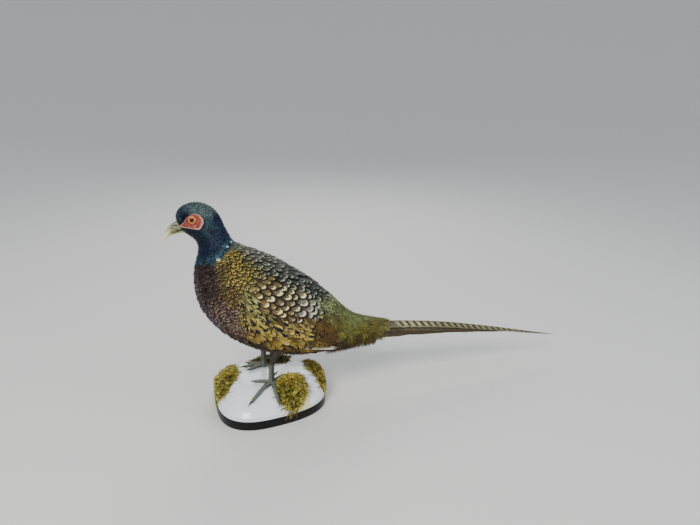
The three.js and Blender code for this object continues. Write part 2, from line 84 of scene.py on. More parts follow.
def lightScene():
    world = bpy.data.worlds.new("studio")
    world.use_nodes = True
    background = world.node_tree.nodes["Background"]
    background.inputs["Color"].default_value = (*studio["sky"], 1)
    background.inputs["Strength"].default_value = studio["skyStrength"]
    bpy.context.scene.world = world
    for name, (place, aim, width, energy, colour) in studio["lamps"].items():
        data = bpy.data.lights.new(name, "AREA")
        data.size, data.energy, data.color = width, energy, colour
        lamp = bpy.data.objects.new(name, data)
        turn = (Vector(aim) - Vector(place)).to_track_quat("-Z", "Y").to_matrix().to_4x4()
        lamp.matrix_world = Matrix.Translation(place) @ turn
        bpy.context.collection.objects.link(lamp)


def layFloor():
    flat, sweep, around = studio["floorFlat"], studio["floorSweep"], 96
    rise = [(flat + sweep * sin(t), sweep * (1 - cos(t))) for t in np.linspace(0, pi / 2, 24)]
    turn = turns(around)
    rings = [(reach * np.cos(turn), reach * np.sin(turn), np.full(around, z)) for reach, z in rise]
    points = np.concatenate([np.stack(ring, -1) for ring in rings])
    faces = [list(range(around))] + ringFaces(len(rise), around)[:, ::-1].tolist()
    mesh = bpy.data.meshes.new("floor")
    mesh.from_pydata(points.tolist(), [], faces)
    mesh.polygons.foreach_set("use_smooth", [True] * len(mesh.polygons))
    floor = bpy.data.objects.new("floor", mesh)
    bpy.context.collection.objects.link(floor)
    material, _, shader = newMaterial("paleFloor")
    finishShader(shader, {"Base Color": (*studio["floorColour"], 1), "Roughness": 0.75})
    mesh.materials.append(material)


# node helpers; the tree that a new node goes into is read from its inputs where it can be

def newMaterial(name):
    material = bpy.data.materials.new(name)
    material.use_nodes = True
    tree = material.node_tree
    return material, tree, tree.nodes["Principled BSDF"]


def setInput(socket, value):
    # links a node or a socket, or sets a number or a "#rrggbb" colour
    if isinstance(value, bpy.types.Node):
        value = value.outputs[0]
    if isinstance(value, bpy.types.NodeSocket):
        socket.id_data.links.new(value, socket)
    else:
        socket.default_value = (*tint(value), 1) if isinstance(value, str) else value


def addNode(tree, kind, **inputs):
    node = tree.nodes.new("ShaderNode" + kind)
    for key, value in inputs.items():
        setInput(node.inputs[key], value)
    return node


def finishShader(shader, values, height=None, strength=0.0, deep=0.0):
    # the shader's own inputs, and a bump that is so many millimetres deep
    for key, value in values.items():
        setInput(shader.inputs[key], value)
    if height is not None:
        bump = addNode(shader.id_data, "Bump", Height=height, Strength=strength, Distance=deep * mm)
        setInput(shader.inputs["Normal"], bump)


def addNoise(tree, perMetre, detail, roughness=0.5):
    # noise laid out in metres, so that it has the same grain on every piece
    place = tree.nodes.new("ShaderNodeTexCoord").outputs["Object"]
    node = addNode(tree, "TexNoise", Vector=place, Scale=perMetre, Detail=detail, Roughness=roughness)
    return node.outputs[0]


def treeOf(values):
    return next(value.id_data for value in values if isinstance(value, bpy.types.NodeSocket))


def calc(operation, *values):
    node = treeOf(values).nodes.new("ShaderNodeMath")
    node.operation = operation
    for socket, value in zip(node.inputs, values):
        setInput(socket, value)
    return node.outputs[0]


def plus(first, second):
    return calc("ADD", first, second)


def minus(first, second):
    return calc("SUBTRACT", first, second)


def times(first, second):
    return calc("MULTIPLY", first, second)


def scaled(value, factor, offset):
    return calc("MULTIPLY_ADD", value, factor, offset)


def ramp(value, low, high):
    # 0 below low, 1 above high, smooth between them; low above high turns it round
    node = value.id_data.nodes.new("ShaderNodeMapRange")
    node.interpolation_type = "SMOOTHSTEP"
    for socket, number in zip(node.inputs, (value, low, high)):
        setInput(socket, number)
    return node.outputs[0]


def blend(factor, first, second, mode="MIX"):
    node = treeOf((factor, first, second)).nodes.new("ShaderNodeMix")
    node.data_type, node.blend_type = "RGBA", mode
    for index, value in ((0, factor), (6, first), (7, second)):  # the inputs that a colour mix uses
        setInput(node.inputs[index], value)
    return node.outputs[2]


def readAttribute(tree, name):
    node = tree.nodes.new("ShaderNodeAttribute")
    node.attribute_name = name
    return node.outputs


def splitAttribute(tree, name):
    return addNode(tree, "SeparateXYZ", Vector=readAttribute(tree, name)["Vector"]).outputs


def tint(code):
    # "#rrggbb" as linear red, green, blue
    values = [int(code[i:i + 2], 16) / 255 for i in (1, 3, 5)]
    return tuple(v / 12.92 if v < 0.04045 else ((v + 0.055) / 1.055) ** 2.4 for v in values)


# mesh helpers

def makePiece(name, points, faces, material, slot, smooth=True):
    mesh = bpy.data.meshes.new(name)
    mesh.from_pydata([tuple(point) for point in points], [], [tuple(face) for face in faces])
    return finishPiece(name, mesh, material, slot, smooth)


def makeQuads(name, points, quads, material, slot):
    # the same for large meshes: points and quads are whole arrays
    mesh = bpy.data.meshes.new(name)
    mesh.vertices.add(len(points))
    mesh.vertices.foreach_set("co", np.ascontiguousarray(points, np.float32).ravel())
    mesh.loops.add(quads.size)
    mesh.loops.foreach_set("vertex_index", np.ascontiguousarray(quads, np.int32).ravel())
    mesh.polygons.add(len(quads))
    mesh.polygons.foreach_set("loop_start", np.arange(0, quads.size, 4, dtype=np.int32))
    mesh.update(calc_edges=True)
    return finishPiece(name, mesh, material, slot, True)


def finishPiece(name, mesh, material, slot, smooth):
    mesh.materials.append(material)
    mesh.polygons.foreach_set("use_smooth", [smooth] * len(mesh.polygons))
    piece = bpy.data.objects.new(name, mesh)
    bpy.context.collection.objects.link(piece)
    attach(piece, "root")
    return piece


def paint(piece, name, values):
    # a value for each vertex: numbers, vectors or colours
    values = np.asarray(values, np.float32)
    kinds = {1: ("FLOAT", "value"), 3: ("FLOAT_VECTOR", "vector")}
    kind, key = kinds[1 if values.ndim == 1 else values.shape[1]]
    layer = piece.data.attributes.new(name, kind, "POINT")
    layer.data.foreach_set(key, values.ravel())


def ringFaces(rings, around, start=0, closed=True):
    # quads between rings of points, as one array
    columns = np.arange(around if closed else around - 1)
    after = (columns + 1) % around
    rows = np.arange(rings - 1)[:, None] * around + start
    quads = [rows + columns, rows + after, rows + after + around, rows + columns + around]
    return np.stack(quads, -1).reshape(-1, 4)


def throughPoints(points, share):
    # a smooth curve through points, share running from 0 to 1
    points = np.asarray(points, float)
    last = len(points) - 1
    padded = np.vstack([2 * points[0] - points[1], points, 2 * points[-1] - points[-2]])
    place = np.clip(np.asarray(share, float), 0, 1) * last
    index = np.minimum(place.astype(int), last - 1)
    t = (place - index)[..., None]
    a, b, c, d = (padded[index + k] for k in range(4))

    def span(first, second):
        return np.maximum(((first - second) ** 2).sum(-1) ** 0.25, 1e-4)[..., None]

    before, here, after = span(a, b), span(b, c), span(c, d)
    leave = ((b - a) / before - (c - a) / (before + here) + (c - b) / here) * here
    arrive = ((c - b) / here - (d - b) / (here + after) + (d - c) / after) * here
    bend = -3 * b + 3 * c - 2 * leave - arrive
    return b + leave * t + bend * t ** 2 + (2 * b - 2 * c + leave + arrive) * t ** 3


def unit(vectors):
    return vectors / np.maximum(np.linalg.norm(vectors, axis=-1, keepdims=True), 1e-12)


def lengthAlong(line):
    # how far along a line of points each of them lies
    return np.concatenate([[0], np.cumsum(np.linalg.norm(np.diff(line, axis=0), axis=1))])


def turns(count, start=0.0):
    # angles all the way round
    return np.linspace(start, start + 2 * pi, count, endpoint=False)


def ringGrid(low, high, rows, around, start=-pi):
    # for each point of a tube, a number along it and an angle round it
    return np.meshgrid(np.linspace(low, high, rows), turns(around, start), indexing="ij")


def tubeFaces(rows, around, start=0):
    # quads between rings, and a cap on each end
    faces = ringFaces(rows, around, start).tolist()
    faces.append([start + i for i in range(around)])
    end = start + (rows - 1) * around
    faces.append([end + i for i in range(around - 1, -1, -1)])
    return faces


def layPatches(piece, corners):
    # where each corner of the faces goes on the sheet that the look is baked on
    layer = piece.data.uv_layers.new(name="OFBake")
    layer.data.foreach_set("uv", np.ascontiguousarray(corners, np.float32).ravel())


def fade(value, low, high):
    share = np.clip((value - low) / (high - low), 0, 1)
    return share * share * (3 - 2 * share)


# the bird's own surface: sections from the root of the bill to the tail coverts, and
# the angle round each one, 0 on the back and 90 degrees on the right

# back x and z, belly x and z, half width, sag, in millimetres
bodySections = [
    (-134.5, 322.5, -127.5, 308, 6.5, 0),
    (-135.5, 330, -122.5, 303.5, 10.5, 0.04),
    (-131.5, 339.5, -117, 299.5, 14.5, 0.08),
    (-122.5, 346.5, -113, 296, 17.3, 0.1),
    (-108, 350, -110, 292.5, 19.3, 0.1),
    (-93, 347.3, -108, 289.5, 20.2, 0.08),
    (-81, 340, -107, 286, 20.6, 0.05),
    (-73, 329.5, -106.3, 282, 21.2, 0),
    (-67, 316, -106.3, 277.5, 22.6, 0),
    (-60.5, 301.5, -107.5, 271, 25.5, 0),
    (-53.5, 290, -110.5, 261.5, 31, 0),
    (-40, 280.5, -113.5, 249, 40, 0),
    (-13, 269.5, -115.5, 226, 51.5, -0.04),
    (22, 251, -109, 188, 61, -0.06),
    (53, 230, -86, 151, 65, -0.06),
    (83, 207, -50, 121.5, 64.5, -0.06),
    (107, 183.5, -10, 101, 60, -0.05),
    (128, 161.5, 34, 91, 52, -0.03),
    (150, 144.5, 80, 89, 42, 0),
    (178, 135, 122, 91.5, 32, 0),
    (202, 129, 162, 91.5, 25, 0),
    (220, 125.5, 193, 91, 21, 0),
]
lastSection = len(bodySections) - 1
wingPad = {"section": 13.9, "angle": 60, "reachSections": 1.75, "reachAngle": 33, "rise": 5.2}


def bodyPoint(section, angle, grow=0.0):
    # points in metres; grow, in millimetres, moves them out from the surface
    share = np.asarray(section, float) / lastSection
    back = throughPoints([row[0:2] for row in bodySections], share)
    belly = throughPoints([row[2:4] for row in bodySections], share)
    width = throughPoints([(row[4], row[5], i) for i, row in enumerate(bodySections)], share)
    rise = (back - belly) / 2
    halfHeight = np.linalg.norm(rise, axis=-1)
    side = (width[..., 0] + grow) * np.sin(angle) * (1 - width[..., 1] * np.cos(angle))
    lift = np.cos(angle) * (halfHeight + grow) / halfHeight
    middle = (back + belly) / 2 + rise * lift[..., None]
    return np.stack([middle[..., 0], side, middle[..., 1]], -1) * mm


def wingRise(section, angle):
    # how far the folded wing stands out from the body, in millimetres
    along = (section - wingPad["section"]) / wingPad["reachSections"]
    across = (np.degrees(np.abs(angle)) - wingPad["angle"]) / wingPad["reachAngle"]
    return wingPad["rise"] * np.clip(1 - along ** 2 - across ** 2, 0, 1)


class Surface:
    # a surface sampled on a grid, so that many points can be put on it at once
    def __init__(self, pointAt, firstSection, end, rows, columns, halfTurn=pi):
        self.first, self.end, self.half = firstSection, end, halfTurn
        self.rows, self.columns = rows, columns
        section, angle = np.meshgrid(
            np.linspace(firstSection, end, rows), np.linspace(-halfTurn, halfTurn, columns), indexing="ij")
        self.grid = pointAt(section, angle)
        self.alongGrid = np.gradient(self.grid, (end - firstSection) / (rows - 1), axis=0)
        self.acrossGrid = np.gradient(self.grid, 2 * halfTurn / (columns - 1), axis=1)
        self.normalGrid = unit(np.cross(self.alongGrid, self.acrossGrid))

    def read(self, grid, section, angle):
        row = np.clip((section - self.first) / (self.end - self.first), 0, 1) * (self.rows - 1)
        turn = (np.asarray(angle) + self.half) % (2 * self.half) / (2 * self.half)
        column = turn * (self.columns - 1)
        i, j = np.minimum(row.astype(int), self.rows - 2), np.minimum(column.astype(int), self.columns - 2)
        u, v = (row - i)[..., None], (column - j)[..., None]
        low = grid[i, j] * (1 - v) + grid[i, j + 1] * v
        high = grid[i + 1, j] * (1 - v) + grid[i + 1, j + 1] * v
        return low * (1 - u) + high * u

    def point(self, section, angle, lift=0.0):
        # lift in metres, along the normal; past the last row the surface runs straight on
        past = section - np.clip(section, self.first, self.end)
        place = self.read(self.grid, section, angle)
        place = place + self.read(self.alongGrid, section, angle) * np.asarray(past)[..., None]
        return place + self.read(self.normalGrid, section, angle) * np.asarray(lift)[..., None]

    def stretch(self, section, angle):
        # metres for one section, and for one radian
        along = np.linalg.norm(self.read(self.alongGrid, section, angle), axis=-1)
        across = np.linalg.norm(self.read(self.acrossGrid, section, angle), axis=-1)
        return along, across


def bodyWithWings(section, angle):
    return bodyPoint(section, angle, wingRise(section, angle))


bodySurface = Surface(bodyWithWings, 0, lastSection, 505, 361)


# plumage: each zone has places as (section, degrees from the back), its colours, its
# marking (where a pale line runs, 1 being the edge, how wide it is, and how large a dark
# tip spot), its feathers' length, width and spacing in millimetres, its gloss, and how
# hair-like it is

plumageZones = {
    # the forehead's pale blue rims are partly the feathers' own colour and partly painted highlight
    "forehead": ([(0.5, 0), (1.2, 25), (2.1, 30), (1, 60)],
        "#18222f #34465f #587088", (0.8, 0, 0), (4.2, 2.6, 1.5), 0.5, 0),
    "lores": ([(1, 75), (1.9, 66), (2.4, 60)],
        "#070b16 #0e1830 #152440", (0.8, 0, 0), (3.4, 2.2, 1.3), 0.5, 0),
    "crown": ([(3, 12), (3.2, 36), (4.1, 0), (4.3, 42), (5, 22), (5.1, 46), (5.6, 8)],
        "#18242a #34464c #6c8480", (0.8, 0, 0), (5.6, 2.4, 1.8), 0.28, 0),
    "cheek": ([(1.4, 115), (2.4, 135), (3.6, 122), (4.8, 125), (6.2, 118), (3, 165), (5.5, 160)],
        "#060f1a #0a1a2c #12283e", (0.75, 0, 0), (4.6, 2.8, 1.7), 0.35, 0),
    "ear": ([(5.7, 78), (6, 96), (6.4, 66)],
        "#10232c #1c343e #2b4a52", (0.72, 0, 0), (5.4, 2.8, 1.8), 0.35, 0),
    "nape": ([(6.3, 62), (6.6, 82), (6.4, 36), (7.4, 20), (7.4, 70), (7.8, 110),
        (8.4, 0), (8.4, 45), (8.5, 90), (8.7, 135), (7.8, 160)],
        "#060d1c #0b1932 #142b50", (0.74, 0, 0), (7, 4.2, 2.6), 0.4, 0),
    # the collar's teal rims are partly the feathers' own colour and partly painted sheen
    "collar": ([(9.2, 25), (9.5, 58), (9.75, 88), (9.7, 112), (9.5, 145), (9.4, 175)],
        "#0c202c #163646 #336070", (0.7, 0, 0), (8, 5, 3), 0.38, 0),
    # the pale lines of the bib and breast are partly the feathers' own pale edges and partly painted purple
    # glints
    "bib": ([(10.25, 130), (10.2, 155), (10.9, 145), (11.5, 128), (12.1, 122), (11, 118), (12.1, 140)],
        "#18100e #5a4238 #2a1a16", (0.74, 0.03, 0), (9.5, 6.2, 4), 0.35, 0),
    "breastFront": ([(11.1, 168), (12, 160), (12.8, 158), (13.4, 160)],
        "#150b0d #806470 #1d1018", (0.72, 0.05, 0), (10.5, 7, 4.6), 0.3, 0),
    "breastLow": ([(12.8, 127), (13.3, 138), (14, 133), (13.2, 118)],
        "#301a10 #ae9484 #0f0808", (0.74, 0.04, 0), (10, 6.8, 4.2), 0.35, 0),
    "shoulder": ([(10.45, 88), (10.25, 62), (10.6, 45), (11.2, 60), (11.3, 74),
        (11.6, 88), (12, 98), (12, 66), (12.3, 90)],
        "#55420f #c6b04b #0c0906", (0.68, 0.07, 0.24), (10, 6.2, 4), 0.12, 0),
    "shoulderFront": ([(10.9, 99), (11.5, 104), (12, 108)],
        "#352a0e #806e30 #0a0806", (0.68, 0.07, 0.24), (10, 6.2, 4), 0.12, 0),
    "shoulderLow": ([(12.6, 104), (12.9, 108), (12.4, 114)],
        "#4c3b12 #95793a #100a06", (0.7, 0.06, 0.24), (10.2, 6.4, 4.2), 0.15, 0),
    "mantleEdge": ([(10.5, 30), (11.1, 45), (11.6, 52), (12.1, 56)],
        "#37351a #b4ab68 #0c0b07", (0.65, 0.06, 0.1), (12, 7.8, 5.4), 0.12, 0),
    "mantle": ([(10.5, 14), (11, 32), (11.6, 10), (11.8, 36), (12.3, 46), (12.4, 22)],
        "#1d221b #b1b493 #0a0c08", (0.62, 0.05, 0), (14.5, 9.6, 7.4), 0.12, 0),
    "back": ([(13, 5), (13, 26), (13.8, 18), (14.4, 5), (14.7, 24), (15.2, 8)],
        "#0f1513 #8f9685 #070a08", (0.64, 0.048, 0), (17, 11.5, 9), 0.2, 0),
    "underWing": ([(12.9, 96), (13.4, 99), (13.8, 98)],
        "#a0974c #dad286 #14160f", (0.8, 0, 0.6), (17, 9, 7.2), 0.12, 0),
    "flank": ([(13.9, 108), (14.6, 100), (14.6, 114), (15.3, 92), (15.4, 106), (16, 96)],
        "#a98f3a #ecd470 #0d0e1c", (0.92, 0, 0.95), (24, 14, 10.8), 0.12, 0),
    "flankRear": ([(15.7, 83), (16.1, 91), (16.3, 99)],
        "#4a3813 #8c722e #120a06", (0.78, 0, 0.3), (20, 11, 8.4), 0.12, 0),
    "flankLow": ([(14.4, 124), (15.2, 120), (16, 112), (16.6, 102), (16.8, 112)],
        "#7a611f #cbaa47 #160c07", (0.78, 0, 0.32), (20, 12, 9.2), 0.12, 0),
    "belly": ([(14.2, 152), (15, 145), (15, 170), (16.2, 140), (16.4, 165), (14, 172), (17.2, 150)],
        "#2c1a0e #432a16 #120c08", (0.86, 0, 0.2), (17, 8, 6.4), 0.05, 0.5),
    "lowerBack": ([(15.6, 18), (15.4, 38), (15, 46), (16.2, 10)],
        "#424d2a #b6bf7e #283020", (0.7, 0.12, 0), (14, 7, 4.6), 0.08, 0.7),
    "rumpTop": ([(16.4, 30), (16.8, 8), (17.2, 40), (17.8, 15), (18.6, 0)],
        "#525b30 #9da45f #38431f", (2, 0, 0), (18, 6, 3.6), 0.06, 1),
    "rumpSide": ([(15.95, 70), (16.3, 67), (16.6, 79), (17, 86)],
        "#4a3210 #735328 #2a1c0a", (2, 0, 0), (18, 5, 3.6), 0.05, 1),
    "rumpOlive": ([(16.6, 50), (17.2, 62), (17.5, 74), (18.2, 44), (18.9, 20), (19, 56), (18, 70)],
        "#555420 #8a8338 #3a3a18", (2, 0, 0), (19, 5, 3.6), 0.06, 1),
    "tailCoverts": ([(19.6, 40), (20.2, 60), (20.6, 25), (20.4, 0)],
        "#5e5c30 #8c8848 #3c3a20", (2, 0, 0), (24, 5, 3.4), 0.06, 1),
    "fringe": ([(18.6, 72), (19.1, 62), (19.2, 92), (19.5, 76), (20.2, 92), (19, 105)],
        "#453810 #6a551c #2a210a", (2, 0, 0), (21, 5, 3.4), 0.05, 1),
    "rustEdge": ([(17.5, 96), (18, 92), (17.4, 108), (18.5, 102), (18.3, 86)],
        "#2e1a08 #4a2c10 #1c1004", (2, 0, 0), (21, 5, 3.4), 0.05, 1),
    "fringeEnd": ([(20, 84), (20.1, 100)],
        "#2a2d13 #5c6431 #191c0d", (2, 0, 0), (21, 5, 3.4), 0.05, 1),
    "vent": ([(17.6, 125), (18.4, 140), (19.6, 130), (20.4, 150), (18, 175), (20, 178)],
        "#341a0a #4c2814 #1e100a", (2, 0, 0), (20, 5, 3.6), 0.05, 1),
}
zoneSharpness = 5.0


def readZones(zones, section, angle):
    # the values of the nearest places, softly blended: three colours, the marking, the
    # feather's size and spacing, its gloss and how hair-like it is
    places, values = [], []
    for zonePlaces, codes, marking, feather, gloss, hair in zones.values():
        colours = [channel for code in codes.split() for channel in tint(code)]
        row = [*colours, *marking, *feather, gloss, hair]
        for atSection, degrees in zonePlaces:
            places.append(bodyPoint(atSection, radians(degrees)))
            values.append(row)
    points = bodyPoint(section, np.abs(angle))
    away = np.linalg.norm(points[..., None, :] - np.array(places), axis=-1) / mm
    weight = (away + 1.5) ** -zoneSharpness
    blended = (weight / weight.sum(-1, keepdims=True)) @ np.array(values)
    names = ("ground", "mark", "rim", "marking", "size")
    found = {name: blended[..., 3 * i:3 * i + 3] for i, name in enumerate(names)}
    found["gloss"], found["hair"] = blended[..., 15], blended[..., 16]
    return found


def spreadRoots(tract, scale=1.0):
    # roots as far apart as their zone says, over both sides of the bird
    random = np.random.default_rng(tract["seed"])
    tries = 90000
    section = random.uniform(*tract["section"], tries)
    angle = random.uniform(*np.radians(tract["degrees"]), tries) * random.choice([-1, 1], tries)
    spacing = readZones(plumageZones, section, angle)["size"][:, 2] * scale * mm
    along, across = bodySurface.stretch(section, angle)
    chance = along * across / spacing ** 2
    kept = random.uniform(0, np.percentile(chance, 97), tries) < chance
    section, angle, spacing = section[kept], angle[kept], spacing[kept]
    points = bodySurface.point(section, angle)
    tree = kdtree.KDTree(len(points))
    for i, point in enumerate(points):
        tree.insert(point, i)
    tree.balance()
    free = np.ones(len(points), bool)
    chosen = []
    for i in range(len(points)):
        if free[i]:
            chosen.append(i)
            for _, near, _ in tree.find_range(points[i], spacing[i]):
                free[near] = False
    return rootsFrom(section[chosen], angle[chosen], plumageZones, tract, tract["seed"] + 50)


def featherGrid(across, along):
    u, v = np.meshgrid(np.linspace(-1, 1, across + 1), np.linspace(0, 1, along + 1))
    return u.ravel(), v.ravel(), ringFaces(along + 1, across + 1, closed=False)


def featherWidth(v, roundness):
    # half width along a feather, as a share of its widest
    stem = 0.42 + 0.58 * fade(v, 0, 0.42)
    tip = np.clip((v - roundness) / (1 - roundness), 0, 1)
    return stem * np.sqrt(np.clip(1 - tip ** 2.2, 0.014, 1))


def walkFrom(surface, roots, stations):
    # a line over the surface from each root, turned away from tailwards
    s, a = roots["section"], roots["angle"]
    step = roots["length"] / (stations - 1)
    lines = [(s, a)]
    for _ in range(stations - 1):
        along, across = surface.stretch(s, a)
        s = s + step * np.cos(roots["turn"]) / along
        a = a + step * np.sin(roots["turn"]) / across
        lines.append((s, a))
    return np.array(lines).transpose(1, 2, 0)


def growVanes(name, surface, roots, shape, slot):
    # one vane for each root, from arrays of section, angle, length, width, turn, depth of the
    # root, lift of the tip, roll and sweep; shape has the vane's cells across and along,
    # where its tip starts to round, raggedness, rise of the root, camber and seed
    across, along, roundness, raggedness, rise, camber, seed = shape
    u, v, quads = featherGrid(across, along)
    count, points = len(roots["section"]), len(u)
    random = np.random.default_rng(seed)
    half = featherWidth(v, roundness)
    ragged = 1 + raggedness * random.normal(size=(count, points)) * (np.abs(u) > 0.9)
    x = u * half * ragged * roots["width"][:, None] / 2
    x = x + roots["sweep"][:, None] * roots["length"][:, None] * v ** 2
    tipJag = raggedness * random.normal(size=(count, points)) * (v > 0.93) * 0.5
    lineS, lineA = walkFrom(surface, roots, along + 1)
    station = np.repeat(np.arange(along + 1), across + 1)
    s, a = lineS[:, station], lineA[:, station]
    perSection, perRadian = surface.stretch(s, a)
    turn = roots["turn"][:, None]
    forward = tipJag * roots["length"][:, None]
    s = s + (forward * np.cos(turn) - x * np.sin(turn)) / perSection
    a = a + (forward * np.sin(turn) + x * np.cos(turn)) / perRadian
    lift = -roots["depth"][:, None] * (1 - v ** rise) + roots["lift"][:, None] * v ** 2.5
    lift = lift - camber * roots["width"][:, None] * (u * half) ** 2 + roots["roll"][:, None] * x
    place = surface.point(s, a, lift)
    faces = (quads[None] + np.arange(count)[:, None, None] * points).reshape(-1, 4)
    piece = makeQuads(name, place.reshape(-1, 3), faces, featherMaterial, slot)
    vane = np.stack([np.broadcast_to(u, (count, points)), np.broadcast_to(v, (count, points)),
                     np.repeat(random.uniform(size=(count, 1)), points, axis=1)], -1)
    paint(piece, "vane", vane.reshape(-1, 3))
    for key in ("ground", "mark", "rim", "marking"):
        paint(piece, key, np.repeat(roots[key], points, axis=0))
    paint(piece, "gloss", np.repeat(roots["gloss"], points))
    layBakePatches(piece, roots, quads, u, v)
    return piece


def layBakePatches(piece, roots, quads, u, v):
    # each vane is a small patch at its root's place on the unrolled skin
    section, angle = roots["section"], roots["angle"]
    count = len(section)
    size = float(np.clip(0.42 / count ** 0.5, 0.003, 0.018))
    across = (angle - angle.min()) / max(np.ptp(angle), 1e-6)
    along = (section - section.min()) / max(np.ptp(section), 1e-6)
    centre = np.stack([across, along], -1) * (1 - 2 * size) + size
    local = np.stack([u, 2 * v - 1], -1) * size / 2
    spots = centre[:, None, :] + local[None]
    corners = spots[:, quads.ravel(), :].reshape(-1, 2)
    layPatches(piece, corners)


def rootsFrom(section, angle, zones, tract, seed):
    # the rest of what growVanes needs, from the zones and the tract's look, which has how
    # much length and shade vary, turn, droop, depth of the root, lift of the tip, roll, sweep
    vary, shading, turn, droop, depth, lift, roll, sweep = tract["look"]
    random = np.random.default_rng(seed)
    count = len(section)
    stray = tract.get("stray", 0.06)
    strayed = section + random.normal(0, stray, count), angle + random.normal(0, stray * 0.5, count)
    found = readZones(zones, *strayed)
    size = found.pop("size") * mm
    longer = 1 + vary * random.normal(size=count)
    shade = 1 + shading * random.normal(size=(count, 1))
    roots = {
        "section": section, "angle": angle, **found,
        "length": size[:, 0] * longer, "width": size[:, 1] * longer,
        "turn": turn * random.normal(size=count) + droop * np.sin(angle),
        "depth": np.full(count, depth * mm), "lift": lift * mm * random.uniform(-0.3, 1, count),
        "roll": roll * random.normal(size=count), "sweep": sweep * random.normal(size=count),
    }
    for key in ("ground", "mark", "rim"):
        roots[key] = np.clip(roots[key] * shade, 0, 1)
    roots["marking"][:, 1] *= random.uniform(0.65, 1.25, count)
    spotSize = random.uniform(0.55, 1.25, count)
    roots["marking"][:, 2] *= spotSize * (random.uniform(size=count) < tract.get("spotted", 1))
    return roots


def pickRoots(roots, kept):
    return {key: values[kept] for key, values in roots.items()}


# the feather finish: marks drawn inside each vane from its own coordinates

featherFinish = {
    "lineSoftness": 0.045,
    "spotSlope": 1.15,
    "barbs": 26.0,
    "barbSlant": 4.0,
    "barbDepth": 0.22,
    "mottle": 420.0,
    "roughness": 0.62,
    "glossRoughness": 0.3,
    "metal": 0.75,
}


def makeFeatherMaterial():
    look = featherFinish
    material, tree, shader = newMaterial("plumage")
    u, v, chance = splitAttribute(tree, "vane")
    lineAt, lineWide, spot = splitAttribute(tree, "marking")
    ground, mark, rim = (readAttribute(tree, key)["Color"] for key in ("ground", "mark", "rim"))
    gloss = readAttribute(tree, "gloss")["Fac"]
    side = calc("ABSOLUTE", u)

    # distance out towards the edge of the vane, 1 at the edge, following its round tip
    tipward = calc("MAXIMUM", scaled(v, 1.75, -0.75), 0.0)
    cubes = plus(calc("POWER", side, 2.6), calc("POWER", tipward, 2.6))
    out = calc("POWER", cubes, 1 / 2.6)
    mottle = addNoise(tree, look["mottle"], 3.0)
    wobble = scaled(mottle, 0.2, -0.1)
    out = plus(out, wobble)

    lineFrom, lineTo, soft = minus(lineAt, lineWide), plus(lineAt, lineWide), look["lineSoftness"]
    inner = ramp(out, minus(lineFrom, soft), lineFrom)
    outer = ramp(out, lineTo, plus(lineTo, soft))
    hasLine = calc("GREATER_THAN", lineWide, 0.02)
    inner = times(inner, hasLine)
    # a negative spot keeps the line to the tip of the feather
    tipFrom = plus(spot, 1.0)
    atTip = ramp(v, minus(tipFrom, 0.05), plus(tipFrom, 0.03))
    offTip = times(calc("LESS_THAN", spot, -0.01), minus(1.0, atTip))
    inner = times(inner, minus(1.0, offTip))

    # fine barbs and a paler shaft
    slant = scaled(side, -look["barbSlant"], times(v, look["barbs"]))
    barb = calc("SINE", times(plus(slant, times(chance, 6.0)), 6.28))
    place = addNode(tree, "CombineXYZ", X=times(slant, 0.45), Y=times(u, 0.9),
                    Z=times(chance, 40.0))
    strand = addNode(tree, "TexNoise", Vector=place, Scale=1.0, Detail=3.0)
    strands = scaled(ramp(strand.outputs[0], 0.3, 0.7), 0.75, 0.55)
    barbsAndRootShade = times(strands, scaled(barb, 0.14, 0.93))
    shaft = ramp(side, 0.09, 0.03)

    plain = scaled(hasLine, -0.8, 1.0)
    paler = times(times(mottle, 0.6), plain)
    body = blend(paler, ground, mark)
    body = blend(times(shaft, 0.25), body, mark)
    lined = blend(inner, body, mark)
    edged = blend(outer, lined, rim)
    fromTip = minus(1.0, v)
    reach = times(spot, minus(1.0, times(side, look["spotSlope"])))
    spotted = ramp(plus(minus(reach, fromTip), wobble), 0.0, 0.05)
    hasSpot = calc("GREATER_THAN", spot, 0.05)
    marked = blend(times(spotted, hasSpot), edged, rim)
    # painted shade: each vane is darker towards its root, where it lies under the feathers ahead of it
    barbsAndRootShade = times(barbsAndRootShade, scaled(ramp(v, 0.2, 0.8), 0.55, 0.5))
    grey = addNode(tree, "CombineColor", Red=barbsAndRootShade, Green=barbsAndRootShade, Blue=barbsAndRootShade)
    barbedAndRootShaded = blend(1.0, marked, grey, "MULTIPLY")

    rough = scaled(gloss, look["glossRoughness"] - look["roughness"], look["roughness"])
    finishShader(shader, {
        "Base Color": barbedAndRootShaded, "Metallic": times(gloss, look["metal"]), "Roughness": rough,
        "Specular IOR Level": 0.28, "Sheen Weight": 0.05, "Sheen Roughness": 0.4,
    }, plus(barb, times(shaft, 1.5)), look["barbDepth"], 0.15)
    return material


featherMaterial = makeFeatherMaterial()


# the skin under the feathers, in one piece from the bill to the tail coverts

skin = {
    "rows": 190, "around": 120, "headDepth": 1.3, "bodyDepth": 3.4, "headEnd": 7.0, "bodyStart": 11.5,
    "end": 20.0, "closeFrom": 19.0, "closeDepth": 13.0,
    "underWing": 0.75, "darker": 0.6, "duller": 0.5,  # shares of the wing's rise, the colours and the gloss
}


def skinDepth(section):
    deeper = (skin["bodyDepth"] - skin["headDepth"]) * fade(section, skin["headEnd"], skin["bodyStart"])
    closing = skin["closeDepth"] * fade(section, skin["closeFrom"], skin["end"])
    return skin["headDepth"] + deeper + closing


def paintPlain(piece, count, colours, gloss):
    # the feather finish with no line, spot or edge
    for key, colour in zip(("ground", "mark", "rim"), colours):
        paint(piece, key, np.broadcast_to(colour, (count, 3)))
    paint(piece, "marking", np.tile((3.0, 0.0, 0.0), (count, 1)))
    paint(piece, "vane", np.tile((0.4, 0.3, 0.5), (count, 1)))
    paint(piece, "gloss", gloss)


